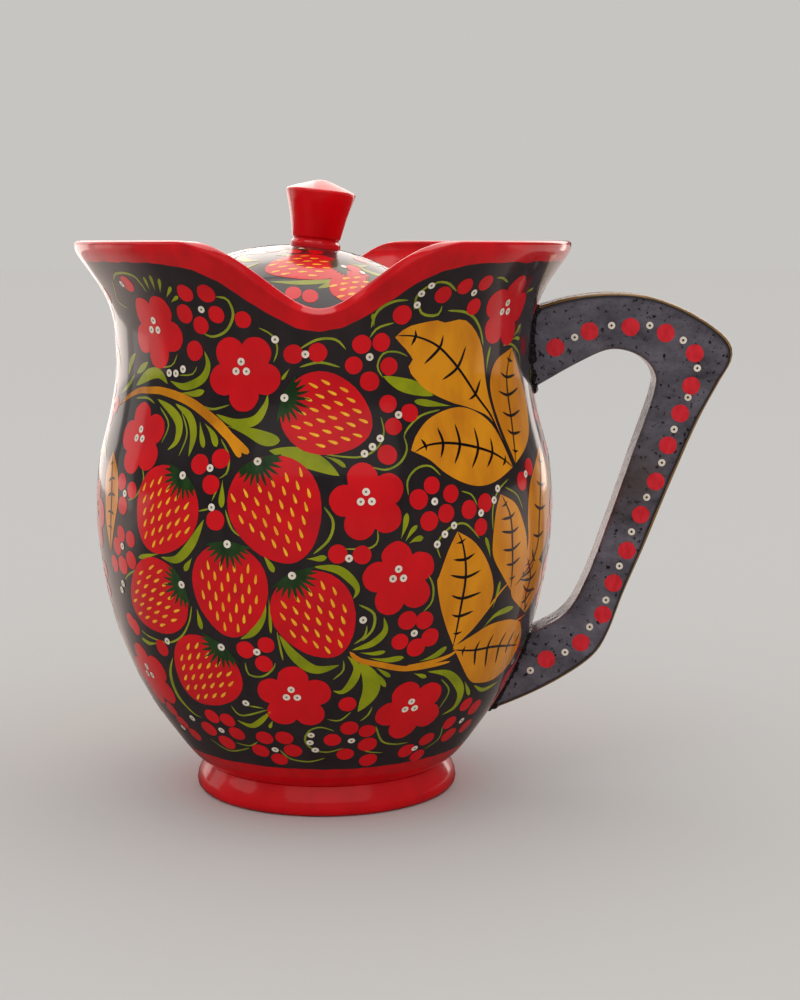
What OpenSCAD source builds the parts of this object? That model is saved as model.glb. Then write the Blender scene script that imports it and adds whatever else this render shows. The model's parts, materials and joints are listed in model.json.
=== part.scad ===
// Lidded table jug of turned linden wood with a flat sawn handle.
// Millimetres, +Z up. The origin is the centre of the foot's flat underside,
// on the turning axis. The handle stands on the +X side and the pouring lip on -X.
// The lid is drawn where it rests: wedged a little askew in the flared neck.

/* [Vessel] */
// Height of the rim above the table
rim_h = 190; // [185:1:200]
// Radius of the rim at its outer edge
rim_r = 84.4; // [84:0.2:86]
// Radius of the vessel at its widest, two fifths of the way up
belly_r = 78.8; // [78:0.2:80]
// Radius of the vessel at the narrowest part of the neck
neck_r = 71.2; // [70.8:0.2:72]
// Wall thickness of the flared lip, measured level
lip_wall = 3.8; // [3:0.2:4.2]
// Wall thickness of the belly, measured level
belly_wall = 5.6; // [5:0.2:6.4]
// Height of the hollow's floor above the table
floor_z = 15.5; // [15:0.5:18]
// Height of the inner ledge that the lid sits on
seat_z = 155.2; // [154.4:0.2:155.2]
// Radius of the opening through the inner ledge
seat_r = 57.5; // [57:0.5:58]

/* [Scoops in the rim] */
// Half the width of the front scoop
front_scoop_w = 37.5; // [30:0.5:42]
// Depth of the front scoop on the inside of the lip
front_scoop_d = 19.8; // [12:0.2:22]
// Half the width of the back scoop
back_scoop_w = 38; // [24:0.5:40]
// Depth of the back scoop on the inside of the lip
back_scoop_d = 19.6; // [10:0.2:20]
// Sideways offset of the back scoop towards the pouring lip
back_scoop_x = -14; // [-16:0.5:0]
// Slope of the scooped edges, falling outwards, in degrees
scoop_slope = 40; // [20:1:50]

/* [Foot] */
// Height of the turned foot
foot_h = 10; // [9:0.5:10.5]
// Radius of the foot at its widest, just above the table
foot_r = 45.7; // [45:0.1:48]
// Radius of the foot where it meets the vessel
foot_top_r = 42.7; // [42:0.1:43.5]
// Radius of the tenon that joins the vessel to the foot
tenon_r = 30; // [24:1:34]
// Length of that tenon
tenon_h = 4.8; // [3:0.2:5]

/* [Handle] */
// Thickness of the handle plank
handle_t = 16; // [12:1:20]
// Diameter of the dowels that hold the handle
dowel_d = 5; // [4:0.5:5]
// Length of each dowel
dowel_l = 16; // [14:1:18]
// Height of the upper dowel
upper_dowel_z = 152.2; // [151.8:0.2:152.4]
// Height of the lower dowel
lower_dowel_z = 44; // [42:0.5:46]

/* [Lid] */
// Radius of the lid at the edge of its flange
lid_r = 64.6; // [63:0.1:64.8]
// Radius of the sphere that the dome is turned to
dome_r = 74; // [72:0.5:76]
// Wall thickness of the dome
dome_wall = 5; // [4:0.5:6]
// Height of the top of the dome above the table
dome_z = 188.4; // [188:0.2:190]
// Sideways offset of the top of the dome towards the pouring lip
dome_x = -3; // [-3:0.5:-1]
// Lean of the lid towards the handle, in degrees
lid_tilt = 6.4; // [0:0.2:6.4]
// Largest radius of the knob
knob_r = 11.9; // [10:0.1:13]
// Height of the knob above the dome
knob_h = 22.4; // [20:0.2:24]

/* [Hidden] */
$fn = 96;
joint_gap = 0.05;          // room for glue in every hidden joint
spline_steps = 3;          // pieces drawn between two outline points
scoop_reach = 130;         // length of the cutter for a scoop
feather = 10;              // how far a scoop's cut thins out along the rim's outer edge
flange_in = 52;            // where the dome turns into the flange
flange_t = 3;              // thickness of the flange's edge
plug_r = 56;               // outer radius of the ring under the lid
plug_wall = 3;             // thickness of that ring
plug_end = 30;             // how far that ring reaches below the dome's top
knob_pin_r = 4;            // radius of the knob's tenon
upper_dowel_x = 66.2;      // inner end of the upper dowel, inside the ledge
lower_dowel_x = 63.8;      // inner end of the lower dowel, inside the wall

// One Catmull-Rom step between b and c at parameter t.
function cr(a, b, c, d, t) =
    0.5 * (2 * b + (c - a) * t + (2 * a - 5 * b + 4 * c - d) * t * t
    + (3 * b - a - 3 * c + d) * t * t * t);
// A smooth curve through every point of p.
function smooth(p, n = spline_steps) = concat(
    [for (i = [0 : len(p) - 2], k = [0 : n - 1])
        cr(p[max(i - 1, 0)], p[i], p[i + 1], p[min(i + 2, len(p) - 1)], k / n)],
    [p[len(p) - 1]]);
// The same points in the opposite order.
function back(p) = [for (i = [len(p) - 1 : -1 : 0]) p[i]];

// Outside of the vessel from the foot to the rim, as radius and height.
side = smooth([
    [foot_top_r, foot_h], [47.5, 14], [53.6, 22], [62.3, 35], [69.4, 50], [74.4, 66],
    [77.8, 84], [belly_r, 100], [77.5, 116], [73.9, 131], [71.5, 144], [neck_r, 155],
    [72.2, 165], [75.1, 173], [79.6, 180], [83.7, 186], [rim_r, rim_h - 1]]);
// Inside of the lip, from the seat up to the rim.
lip_in = [for (p = side) if (p[1] > seat_z + 1 && p[1] < rim_h - 2) p - [lip_wall, 0]];
// Inside of the belly, from the floor up to the underside of the ledge.
belly_in = [for (p = side) if (p[1] > floor_z + 9 && p[1] < 138) p - [belly_wall, 0]];

// Half section of the vessel's wood.
module vessel_section() {
    polygon(concat(
        [[0, foot_h - tenon_h], [tenon_r, foot_h - tenon_h], [tenon_r, foot_h]],
        side,
        [[rim_r - 1, rim_h], [rim_r - lip_wall + 0.8, rim_h], [rim_r - lip_wall, rim_h - 1]],
        back(lip_in),
        [[neck_r - lip_wall, seat_z], [seat_r, seat_z], [seat_r, seat_z - 6]],
        back(belly_in),
        [[46.5, floor_z + 5.5], [41, floor_z + 1.8], [34, floor_z], [0, floor_z]]));
}

// A cutter for the front scoop: a bell-shaped prism that leans down on its way out.
module scoop(w, d) {
    inner_r = 71;          // radius of the lip's inside at the bottom of the scoop
    translate([0, -inner_r, rim_h]) rotate([90 + scoop_slope, 0, 0])
        linear_extrude(height = scoop_reach, center = true)
            polygon(concat(
                [for (x = [-w : w / 12 : w + 0.01])
                    [x, -d * (0.5 + 0.5 * cos(180 * x / w)) * cos(scoop_slope)]],
                [[w + feather, feather / 2], [w + feather, 40],
                 [-w - feather, 40], [-w - feather, feather / 2]]));
}

module vessel() color([0.16, 0.13, 0.14]) difference() {
    rotate_extrude() vessel_section();
    scoop(front_scoop_w, front_scoop_d);
    translate([back_scoop_x, 0, 0]) mirror([0, 1, 0]) scoop(back_scoop_w, back_scoop_d);
    dowel(upper_dowel_x, upper_dowel_z, joint_gap);
    dowel(lower_dowel_x, lower_dowel_z, joint_gap);
}

module foot() color([0.6, 0.05, 0.06]) rotate_extrude()
    polygon([[0, 0], [43.6, 0], [44.8, 0.5], [45.5, 1.4], [foot_r, 2.6], [45.4, 4.6],
        [44.6, 6.6], [43.6, 8.2], [foot_top_r, foot_h], [tenon_r + joint_gap, foot_h],
        [tenon_r + joint_gap, foot_h - tenon_h - 0.2], [0, foot_h - tenon_h - 0.2]]);

// Outer edge of the handle from its upper joint round to its lower joint, as X and Z.
handle_outer = smooth([
    [60, 164.2], [71, 167.4], [84.5, 171.2], [98, 172.6], [111, 171.4], [124, 166.6],
    [134.4, 160], [139, 155], [139.4, 149.6], [135, 141.6], [128, 128], [119, 106.5],
    [110.5, 85], [103.6, 68.6], [98.6, 55], [93.4, 46.6], [83, 39], [70, 32.2], [56, 26.5]]);
// Edge of the finger gap, the same way round.
handle_inner = smooth([
    [60, 134.6], [72, 140.3], [87, 148.8], [98, 153.3], [107.4, 151.3], [113, 145.6],
    [112.8, 138.4], [106.6, 119.6], [99, 97], [91, 74.8], [83.6, 61.8], [71.6, 54.8], [60, 51.6]]);

module handle() color([0.12, 0.1, 0.1]) difference() {
    rotate([90, 0, 0]) linear_extrude(height = handle_t, center = true)
        polygon(concat(handle_outer, back(handle_inner)));
    rotate_extrude() polygon(concat([[0, foot_h]],
        [for (p = side) if (p[1] < 180) p + [joint_gap, 0]], [[0, 180]]));
    dowel(upper_dowel_x, upper_dowel_z, joint_gap);
    dowel(lower_dowel_x, lower_dowel_z, joint_gap);
}

// A level dowel that starts at x and points towards the handle.
module dowel(x, z, extra = 0)
    translate([x - extra, 0, z]) rotate([0, 90, 0])
        cylinder(h = dowel_l + 2 * extra, d = dowel_d + 2 * extra);

module upper_dowel() color([0.8, 0.65, 0.45]) dowel(upper_dowel_x, upper_dowel_z);
module lower_dowel() color([0.8, 0.65, 0.45]) dowel(lower_dowel_x, lower_dowel_z);

// Height of a sphere's surface below its top, at radius r from its axis.
function drop(r, big) = big - sqrt(big * big - r * r);
// Half section points of the dome's outside and inside, from the axis outwards.
dome_out = [for (r = [0 : 4 : flange_in]) [r, -drop(r, dome_r)]];
dome_in = [for (r = [0 : 4 : plug_r - plug_wall - 1])
    [r, -dome_wall - drop(r, dome_r - dome_wall)]];
flange_z = -drop(flange_in, dome_r);

// Puts a child of the lid where the lid rests in the neck.
module at_rest() translate([dome_x, 0, dome_z]) rotate([0, lid_tilt, 0]) children();

module lid() color([0.16, 0.13, 0.14]) at_rest() difference() {
    rotate_extrude() polygon(concat(
        dome_out,
        [[55, flange_z - 1.2], [lid_r - 1, flange_z - 1.6], [lid_r, flange_z - 2.4],
         [lid_r, flange_z - flange_t - 0.8], [lid_r - 1, flange_z - flange_t - 1.4],
         [plug_r, flange_z - flange_t - 1.4], [plug_r, -plug_end],
         [plug_r - plug_wall, -plug_end]],
        back(dome_in)));
    translate([0, 0, -dome_wall - 1]) cylinder(h = dome_wall + 2, r = knob_pin_r + joint_gap);
}

module knob() color([0.6, 0.05, 0.06]) at_rest() rotate_extrude()
    polygon([[0, -dome_wall + 0.4], [knob_pin_r, -dome_wall + 0.4], [knob_pin_r, 0.05], [8.4, 0.05],
        [8.8, 0.5], [8.8, 1.1], [8.3, 1.6], [7.5, 1.8], [7.5, 2.5], [8.4, 2.8],
        [8.9, 6], [9.7, 10], [10.9, 14.4], [knob_r - 0.1, 17.4], [knob_r, 18.2],
        [knob_r - 0.5, 18.9], [knob_r - 3, 19.9], [3, 21.9], [1.2, knob_h - 0.1], [0, knob_h]]);

vessel();
foot();
handle();
upper_dowel();
lower_dowel();
lid();
knob();
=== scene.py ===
# %% [markdown]
# # A painted table jug with a lid
# The real jug is turned from linden wood, painted by brush with berries and leaves, and varnished.
# The wooden shapes are known exactly from the model that this script loads. What is made here is what
# the maker's lathe and brush leave: softened edges, the scooped rim, each stroke of paint, the gloss.

import json
import math

import bmesh
import bpy
import numpy as np
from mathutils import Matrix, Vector

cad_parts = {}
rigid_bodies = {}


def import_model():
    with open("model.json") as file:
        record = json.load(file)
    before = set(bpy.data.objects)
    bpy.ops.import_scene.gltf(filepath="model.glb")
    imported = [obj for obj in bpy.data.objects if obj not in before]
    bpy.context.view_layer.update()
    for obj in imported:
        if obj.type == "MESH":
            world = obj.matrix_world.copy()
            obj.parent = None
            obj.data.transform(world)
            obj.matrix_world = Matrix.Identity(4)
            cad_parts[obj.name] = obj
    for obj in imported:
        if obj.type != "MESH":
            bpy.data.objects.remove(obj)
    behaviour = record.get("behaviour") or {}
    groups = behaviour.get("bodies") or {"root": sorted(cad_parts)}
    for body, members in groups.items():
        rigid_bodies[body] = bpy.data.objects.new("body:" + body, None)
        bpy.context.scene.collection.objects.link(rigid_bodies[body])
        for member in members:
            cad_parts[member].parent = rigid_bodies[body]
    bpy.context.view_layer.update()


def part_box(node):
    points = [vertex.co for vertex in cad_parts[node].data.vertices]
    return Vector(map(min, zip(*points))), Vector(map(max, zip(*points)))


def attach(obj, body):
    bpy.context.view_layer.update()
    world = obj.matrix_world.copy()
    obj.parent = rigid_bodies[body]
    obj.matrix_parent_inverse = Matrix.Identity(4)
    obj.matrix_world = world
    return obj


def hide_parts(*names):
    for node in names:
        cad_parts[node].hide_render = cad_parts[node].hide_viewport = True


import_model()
MM = 0.001
scene = bpy.context.scene

# %% [markdown]
# ## Camera
# A long lens at about arm's length looks slightly down on the jug, so that the rim stays a thin line
# and the painted belly fills the frame. The camera could be turned by a constraint, but two numbers,
# its height and its pitch, say the same more plainly.

# %% Camera
EYE = (0.026, -0.650, 0.190)
LOOKS_DOWN, LENS = 7.844, 67.68
camera_data = bpy.data.cameras.new("camera")
camera_data.lens = LENS
camera = bpy.data.objects.new("camera", camera_data)
camera.location = EYE
camera.rotation_euler = (math.radians(90 - LOOKS_DOWN), 0, 0)
scene.collection.objects.link(camera)
scene.camera = camera
print("camera at", EYE, "lens", camera_data.lens)


# %% [markdown]
# ## Colours
# Paint colours are easiest to name as they look on a screen, but a shader wants them linear, so one
# helper turns one into the other.

# %% Colour helper
def paint(red, green, blue):
    """A screen colour, 0 to 255 a channel, as the linear colour that a shader uses."""
    channels = [c / 255 for c in (red, green, blue)]
    return tuple(c / 12.92 if c < 0.04 else ((c + 0.055) / 1.055) ** 2.4 for c in channels) + (1,)


RED = paint(212, 0, 14)
CHARCOAL = paint(36, 29, 31)
GOLD = paint(224, 144, 0)
print("red in linear light:", [round(c, 3) for c in RED])


# %% [markdown]
# ## Floor and light
# Varnish shows its surroundings, so the lights here are large soft panels: one wide panel behind on
# the left draws the bright strip down the jug's shoulder, a narrow one answers it on the right, and
# one behind and above whitens the lid. The weaker ones overhead, in front and at the left fill in. The
# world lights the jug evenly, but the varnish hardly sees it: otherwise the black ground would mirror
# it and turn grey. Floor, world and paint are all built from nodes, so one helper adds a node with its
# links, and the rest of the script uses it too.

# %% First helpers
def link(obj):
    """Puts an object in the scene and hands it back."""
    scene.collection.objects.link(obj)
    return obj


def plain_mesh(name, points, faces, edges=()):
    """A mesh object from bare lists."""
    mesh = bpy.data.meshes.new(name)
    mesh.from_pydata([tuple(p) for p in points], list(edges), [tuple(f) for f in faces])
    return link(bpy.data.objects.new(name, mesh))


def add(tree, kind, inputs=None, out=0, **settings):
    """Adds a node, sets it, links it, and hands back one of its outputs."""
    node = tree.nodes.new(kind)
    for key, value in settings.items():
        setattr(node, key, value)
    for key, value in (inputs or {}).items():
        if isinstance(value, bpy.types.NodeSocket):
            tree.links.new(value, node.inputs[key])
        else:
            node.inputs[key].default_value = value
    return node.outputs[out]


def blend_colours(tree, share, first, second):
    """Goes from one colour to another."""
    return add(tree, "ShaderNodeMix", {0: share, 6: first, 7: second}, out=2, data_type="RGBA")


def shader(name):
    """A new material with its tree and its main shader."""
    material = bpy.data.materials.new(name)
    material.use_nodes = True
    return material, material.node_tree, material.node_tree.nodes["Principled BSDF"]


print("helpers for meshes, nodes and materials are ready")

# %% Floor
FLOOR_HALF, BRIGHT_FROM_Y = 12.0, 0.14
corners = [(-1, -1), (1, -1), (1, 1), (-1, 1)]
floor = plain_mesh("floor", [(x * FLOOR_HALF, y * FLOOR_HALF, 0) for x, y in corners], [(0, 1, 2, 3)])
floor_paint, paper, floor_look = shader("floor_paper")
floor_look.inputs["Roughness"].default_value = 0.7
floor_look.inputs["Specular IOR Level"].default_value = 0.1
# Painted reflection: the floor's colour that only the varnish sees is painted dark in front of the jug and
# bright behind it.
floor_y = add(paper, "ShaderNodeSeparateXYZ", {0: add(paper, "ShaderNodeTexCoord", out="Object")}, out="Y")
behind = add(paper, "ShaderNodeMapRange", {"Value": floor_y, "From Min": 0.0, "From Max": BRIGHT_FROM_Y})
painted_reflection = blend_colours(paper, behind, paint(104, 97, 94), paint(235, 215, 205))
is_mirrored = add(paper, "ShaderNodeLightPath", out="Is Glossy Ray")
floor_colour = blend_colours(paper, is_mirrored, paint(222, 219, 214), painted_reflection)
paper.links.new(floor_colour, floor_look.inputs["Base Color"])
floor.data.materials.append(floor_paint)
print("floor of", 2 * FLOOR_HALF, "m")


# %% Lights
def panel(name, place, width, height, power, tint=(1, 0.97, 0.93), aim=(0, 0, 0.1)):
    """A soft rectangular light that faces the jug and isn't seen by the camera."""
    data = bpy.data.lights.new(name, "AREA")
    data.shape = "RECTANGLE"
    data.size = width
    data.size_y = height
    data.energy = power
    data.color = tint
    light = link(bpy.data.objects.new(name, data))
    light.location = place
    light.rotation_euler = (Vector(place) - Vector(aim)).to_track_quat("Z", "Y").to_euler()
    light.visible_camera = False
    return light


WARM = (1, 0.90, 0.84)
panel("back_left", (-0.50, 0.90, 0.42), 0.86, 1.3, 4.2, WARM)
panel("left_dim", (-0.97, 0.42, 0.40), 0.35, 1.0, 0.5)
panel("back_right", (0.62, 0.85, 0.42), 0.16, 1.2, 1.2, WARM)
panel("back_high", (0.14, 1.0, 0.92), 1.4, 1.3, 10.5, WARM)
panel("overhead", (0.0, 0.1, 1.3), 1.0, 0.8, 4)
panel("front_wide", (0.10, -1.7, 1.35), 3.0, 1.5, 3.8)
panel("left", (-1.7, -0.1, 1.2), 1.1, 1.1, 2)

# The panels are for the varnish. The floor is lit by the room alone, so that it stays even.
off_the_floor = bpy.data.collections.new("not_lit_by_panels")
off_the_floor.objects.link(floor)
off_the_floor.collection_objects[0].light_linking.link_state = "EXCLUDE"
for light in (o for o in scene.objects if o.type == "LIGHT"):
    light.light_linking.receiver_collection = off_the_floor

# %% Room
world = bpy.data.worlds.new("room")
world.use_nodes = True
scene.world = world
room = world.node_tree
is_glossy = add(room, "ShaderNodeLightPath", out="Is Glossy Ray")
is_camera = add(room, "ShaderNodeLightPath", out="Is Camera Ray")
room_light = blend_colours(room, is_glossy, (0.86, 0.86, 0.87, 1), (0.02, 0.02, 0.022, 1))
backdrop = blend_colours(room, is_camera, room_light, paint(199, 197, 193))
room.links.new(backdrop, room.nodes["Background"].inputs["Color"])
scene.view_settings.view_transform = "Standard"
print("the world is", world.name)


# %% [markdown]
# ## The turned outline
# Everything on this jug follows the line that the gouge cut: the wall, the painted band, each stroke
# of paint. So the line is made first, as a smooth curve through a few turned diameters, and kept as a
# radius for every millimetre of height.

# %% Outline of the vessel
SIDE_KEYS = [(42.7, 10), (47.5, 14), (53.6, 22), (62.3, 35), (69.4, 50), (74.4, 66), (77.8, 84),
             (78.8, 100), (77.5, 116), (73.9, 131), (71.5, 144), (71.2, 155), (72.2, 165),
             (75.1, 173), (79.6, 180), (83.7, 186), (84.4, 189)]


def smooth(keys, steps):
    """A smooth curve through every key point, with this many steps between two of them."""
    keys = [np.array(k, float) for k in keys]
    curve = []
    for i in range(len(keys) - 1):
        a, b, c, d = keys[max(i - 1, 0)], keys[i], keys[i + 1], keys[min(i + 2, len(keys) - 1)]
        for k in range(steps):
            t = k / steps
            curve.append(0.5 * (2 * b + (c - a) * t + (2 * a - 5 * b + 4 * c - d) * t ** 2
                                + (3 * b - a - 3 * c + d) * t ** 3))
    return curve + [keys[-1]]


side_curve = np.array(smooth(SIDE_KEYS, 10))


def side_radius(z):
    """Radius of the vessel's outside at a height, both in mm."""
    return float(np.interp(z, side_curve[:, 1], side_curve[:, 0]))


def side_slope(z):
    """How much that radius grows for each mm of height."""
    return (side_radius(z + 1.5) - side_radius(z - 1.5)) / 3


vessel_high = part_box("vessel")[1]
print("rim radius", round(side_radius(189), 1), "mm, in the model", round(vessel_high.x / MM, 1))

# %% [markdown]
# ## Helpers for node trees
# Geometry Nodes suit work that follows a rule. Written out node by node a tree is long, so these
# helpers name the nodes that come up again and again. Every tree has named inputs, and its result is
# turned into a plain mesh that rides on one of the two bodies: the jug, or the lid that lifts off it.

# %% Node helpers
def new_tree(name, inputs):
    """A Geometry Nodes tree with named inputs: (label, socket kind, default)."""
    tree = bpy.data.node_groups.new(name, "GeometryNodeTree")
    tree.interface.new_socket("Geometry", in_out="INPUT", socket_type="NodeSocketGeometry")
    for label, kind, value in inputs:
        item = tree.interface.new_socket(label, in_out="INPUT", socket_type="NodeSocket" + kind)
        if value is not None:
            item.default_value = value
    tree.interface.new_socket("Geometry", in_out="OUTPUT", socket_type="NodeSocketGeometry")
    return tree, tree.nodes.new("NodeGroupInput").outputs


def calc(tree, operation, *values):
    """One sum on numbers."""
    return add(tree, "ShaderNodeMath", dict(enumerate(values)), operation=operation)


def split(tree, vector):
    """The three numbers of a vector."""
    first = add(tree, "ShaderNodeSeparateXYZ", {0: vector})
    return first.node.outputs[0], first.node.outputs[1], first.node.outputs[2]


def joined(tree, x, y, z):
    """A vector from three numbers."""
    return add(tree, "ShaderNodeCombineXYZ", {0: x, 1: y, 2: z})


def stored(tree, name, kind="FLOAT_VECTOR"):
    """Reads a named attribute."""
    return add(tree, "GeometryNodeInputNamedAttribute", {"Name": name}, data_type=kind)


def sample(tree, geometry, value, index):
    """A value of another geometry at one of its points."""
    return add(tree, "GeometryNodeSampleIndex", {"Geometry": geometry, 1: value, "Index": index},
               data_type="FLOAT_VECTOR", clamp=True)


def close(tree, geometry, material):
    """Ends a tree: nothing stays an instance, and the material is set."""
    real = add(tree, "GeometryNodeRealizeInstances", {0: geometry})
    soft = add(tree, "GeometryNodeSetShadeSmooth", {0: real})
    done = add(tree, "GeometryNodeSetMaterial", {"Geometry": soft, "Material": material})
    tree.links.new(done, tree.nodes.new("NodeGroupOutput").inputs[0])


def run(tree, source, name, **values):
    """Runs a tree on a source object and hands back the result as a new plain piece."""
    modifier = source.modifiers.new("nodes", "NODES")
    modifier.node_group = tree
    for item in tree.interface.items_tree:
        if item.in_out == "INPUT" and item.name in values:
            modifier[item.identifier] = values[item.name]
    graph = bpy.context.evaluated_depsgraph_get()
    mesh = bpy.data.meshes.new_from_object(source.evaluated_get(graph), depsgraph=graph)
    mesh.name = name
    bpy.data.objects.remove(source)
    return link(bpy.data.objects.new(name, mesh))


def give(piece, body, slot, *nodes):
    """Makes a piece ride on a body and stand for nodes of the model, which it hides; the slot is not used."""
    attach(piece, body)
    if nodes:
        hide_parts(*nodes)
    print(piece.name, "has", len(piece.data.polygons), "faces and rides on the", body)
    return piece


# %% [markdown]
# ## The outline inside node trees
# Trees can't read a Python list, so the outline goes in as a column of loose points: point number n
# holds the radius and the slope at n millimetres of height. A tree looks up two neighbours and blends
# them.

# %% Outline as points
OUTLINE_TOP = 190
outline = plain_mesh("outline", [(side_radius(z) * MM, side_slope(z), z * MM)
                                 for z in range(OUTLINE_TOP + 1)], [])


def outline_points(tree, outline_input):
    """The outline's points inside a tree."""
    return add(tree, "GeometryNodeObjectInfo", {"Object": outline_input}, out=4)


def side_at(tree, points, height):
    """Radius and slope of the vessel's side at a height, inside a tree."""
    position = add(tree, "GeometryNodeInputPosition")
    step = calc(tree, "DIVIDE", height, MM)
    below = calc(tree, "FLOOR", step)
    part = calc(tree, "SUBTRACT", step, below)
    low = sample(tree, points, position, below)
    high = sample(tree, points, position, calc(tree, "ADD", below, 1.0))
    between = add(tree, "ShaderNodeMix", {0: part, 4: low, 5: high}, out=1, data_type="VECTOR")
    radius, slope, _ = split(tree, between)
    return radius, slope


print("outline of", len(outline.data.vertices), "points")

# %% [markdown]
# ## Turned pieces
# A lathe leaves a shape that is one outline carried round an axis. The Spin tool would do it, but the
# rim has two scoops sawn out of it, so a tree is better: it lays a grid of outline points by angle, and
# slides the points of the lip down along the flare to the height of the cut. The cut slopes outwards,
# so its outer edge is lower than its inner edge.

# %% Tree for turned pieces
WELD = 0.005 * MM


def turned_tree():
    """Carries an outline of points (radius, inner-edge share, height) round the axis."""
    tree, given = new_tree("turned", [
        ("Outline", "Object", None), ("Rim", "Object", None), ("Segments", "Int", 8),
        ("Still below", "Float", 1.0), ("Shift", "Vector", None), ("Lean", "Vector", None),
        ("Material", "Material", None)])
    profile, segments, still = given["Geometry"], given["Segments"], given["Still below"]
    position = add(tree, "GeometryNodeInputPosition")
    index = add(tree, "GeometryNodeInputIndex")
    count = add(tree, "GeometryNodeAttributeDomainSize", {"Geometry": profile})
    columns = calc(tree, "ADD", segments, 1.0)
    grid = add(tree, "GeometryNodeMeshGrid", {"Vertices X": columns, "Vertices Y": count})
    row = calc(tree, "FLOORED_MODULO", index, count)
    column = calc(tree, "FLOOR", calc(tree, "DIVIDE", index, count))
    radius, inner, height = split(tree, sample(tree, profile, position, row))
    rim = add(tree, "GeometryNodeObjectInfo", {"Object": given["Rim"]}, out=4)
    around = calc(tree, "FLOORED_MODULO", column, segments)
    outer_cut, inner_cut, top = split(tree, sample(tree, rim, position, around))
    cut = add(tree, "ShaderNodeMix", {0: inner, 2: outer_cut, 3: inner_cut})
    above = calc(tree, "MAXIMUM", calc(tree, "SUBTRACT", height, still), 0.0)
    share = calc(tree, "DIVIDE", calc(tree, "SUBTRACT", cut, still), calc(tree, "SUBTRACT", top, still))
    lowered = calc(tree, "ADD", calc(tree, "SUBTRACT", height, above), calc(tree, "MULTIPLY", above, share))
    points = outline_points(tree, given["Outline"])
    change = calc(tree, "SUBTRACT", side_at(tree, points, lowered)[0], side_at(tree, points, height)[0])
    final_radius = calc(tree, "ADD", radius, change)
    angle = calc(tree, "MULTIPLY", calc(tree, "DIVIDE", column, segments), math.tau)
    across = calc(tree, "MULTIPLY", final_radius, calc(tree, "SINE", angle))
    along = calc(tree, "MULTIPLY", calc(tree, "MULTIPLY", final_radius, calc(tree, "COSINE", angle)), -1.0)
    shaped = add(tree, "GeometryNodeSetPosition",
                 {"Geometry": grid, "Position": joined(tree, across, along, lowered)})
    merged = add(tree, "GeometryNodeMergeByDistance", {"Geometry": shaped, "Distance": WELD})
    placed = add(tree, "GeometryNodeTransform",
                 {"Geometry": merged, "Translation": given["Shift"], "Rotation": given["Lean"]})
    close(tree, placed, given["Material"])
    return tree


turning = turned_tree()
print("turned tree has", len(turning.nodes), "nodes")


# %% Outline helpers
# Below BEND_KEPT radians a corner stays. A rounding takes at most REACH_SHARE of the line beside it.
BEND_KEPT, REACH_SHARE, SHOULDER = 0.3, 0.3, 1.4
SLIVER = 0.001 * MM


def open_mesh(piece):
    """A piece's mesh, opened for editing."""
    work = bmesh.new()
    work.from_mesh(piece.data)
    return work


def write_back(work, piece):
    """Puts an edited mesh back into its piece."""
    work.to_mesh(piece.data)
    work.free()


def soften(outline_points_mm, radius, steps=3):
    """Rounds the corners of an outline and keeps the flats beside them flat."""
    points = [np.array(p, float) for p in outline_points_mm]
    soft = [points[0]]
    for i in range(1, len(points) - 1):
        before, here, after = points[i - 1], points[i], points[i + 1]
        to_before, to_after = before - here, after - here
        reach_before, reach_after = np.linalg.norm(to_before), np.linalg.norm(to_after)
        bend = math.acos(float(np.clip(-to_before @ to_after / (reach_before * reach_after), -1, 1)))
        if bend < BEND_KEPT:
            soft.append(here)
            continue
        cut = min(radius, reach_before * REACH_SHARE, reach_after * REACH_SHARE)
        start, end = here + to_before / reach_before * cut, here + to_after / reach_after * cut
        soft.append(here + to_before / reach_before * cut * SHOULDER)
        for k in range(steps + 1):
            t = k / steps
            soft.append((1 - t) ** 2 * start + 2 * t * (1 - t) * here + t ** 2 * end)
        soft.append(here + to_after / reach_after * cut * SHOULDER)
    return soft + [points[-1]]


def turn(name, profile, material, segments, still_mm=500, rim=None, shift=(0, 0, 0), lean=(0, 0, 0)):
    """Turns an outline of (radius, height) or (radius, inner share, height) in mm.

    The rim's cut moves nothing below the height still_mm.
    """
    rows = [(p[0], 0, p[1]) if len(p) == 2 else tuple(p) for p in profile]
    source = plain_mesh(name + "_outline", [(r * MM, inner, z * MM) for r, inner, z in rows], [])
    level = rim or plain_mesh(name + "_rim", [(1, 1, 1)] * segments, [])
    piece = run(turning, source, name, Outline=outline, Rim=level, Segments=segments,
                **{"Still below": still_mm * MM, "Shift": shift, "Lean": lean, "Material": material})
    bpy.data.objects.remove(level)
    work = open_mesh(piece)
    bmesh.ops.dissolve_degenerate(work, dist=SLIVER, edges=work.edges)
    bmesh.ops.recalc_face_normals(work, faces=work.faces)
    write_back(work, piece)
    return piece


# %% [markdown]
# ## Varnish over paint
# Every painted surface here is the same sandwich: a matt paint with the faint drag of a brush in it,
# under a clear hard varnish that is never quite flat. So one function makes them all: noise stretched
# along the brush varies the colour, a clear coat gives the gloss, and a very low bump makes the
# reflections swim a little, as they do on hand-varnished wood.

# %% Lacquer material
def noise(tree, scale, detail=2.0, stretch=(1, 1, 1), roughness=0.5):
    """Noise on the piece's own coordinates, in lumps of 1/scale metres."""
    place = add(tree, "ShaderNodeTexCoord", out=3)
    sized = add(tree, "ShaderNodeMapping", {"Vector": place, "Scale": stretch})
    return add(tree, "ShaderNodeTexNoise",
               {"Vector": sized, "Scale": scale, "Detail": detail, "Roughness": roughness})


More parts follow.
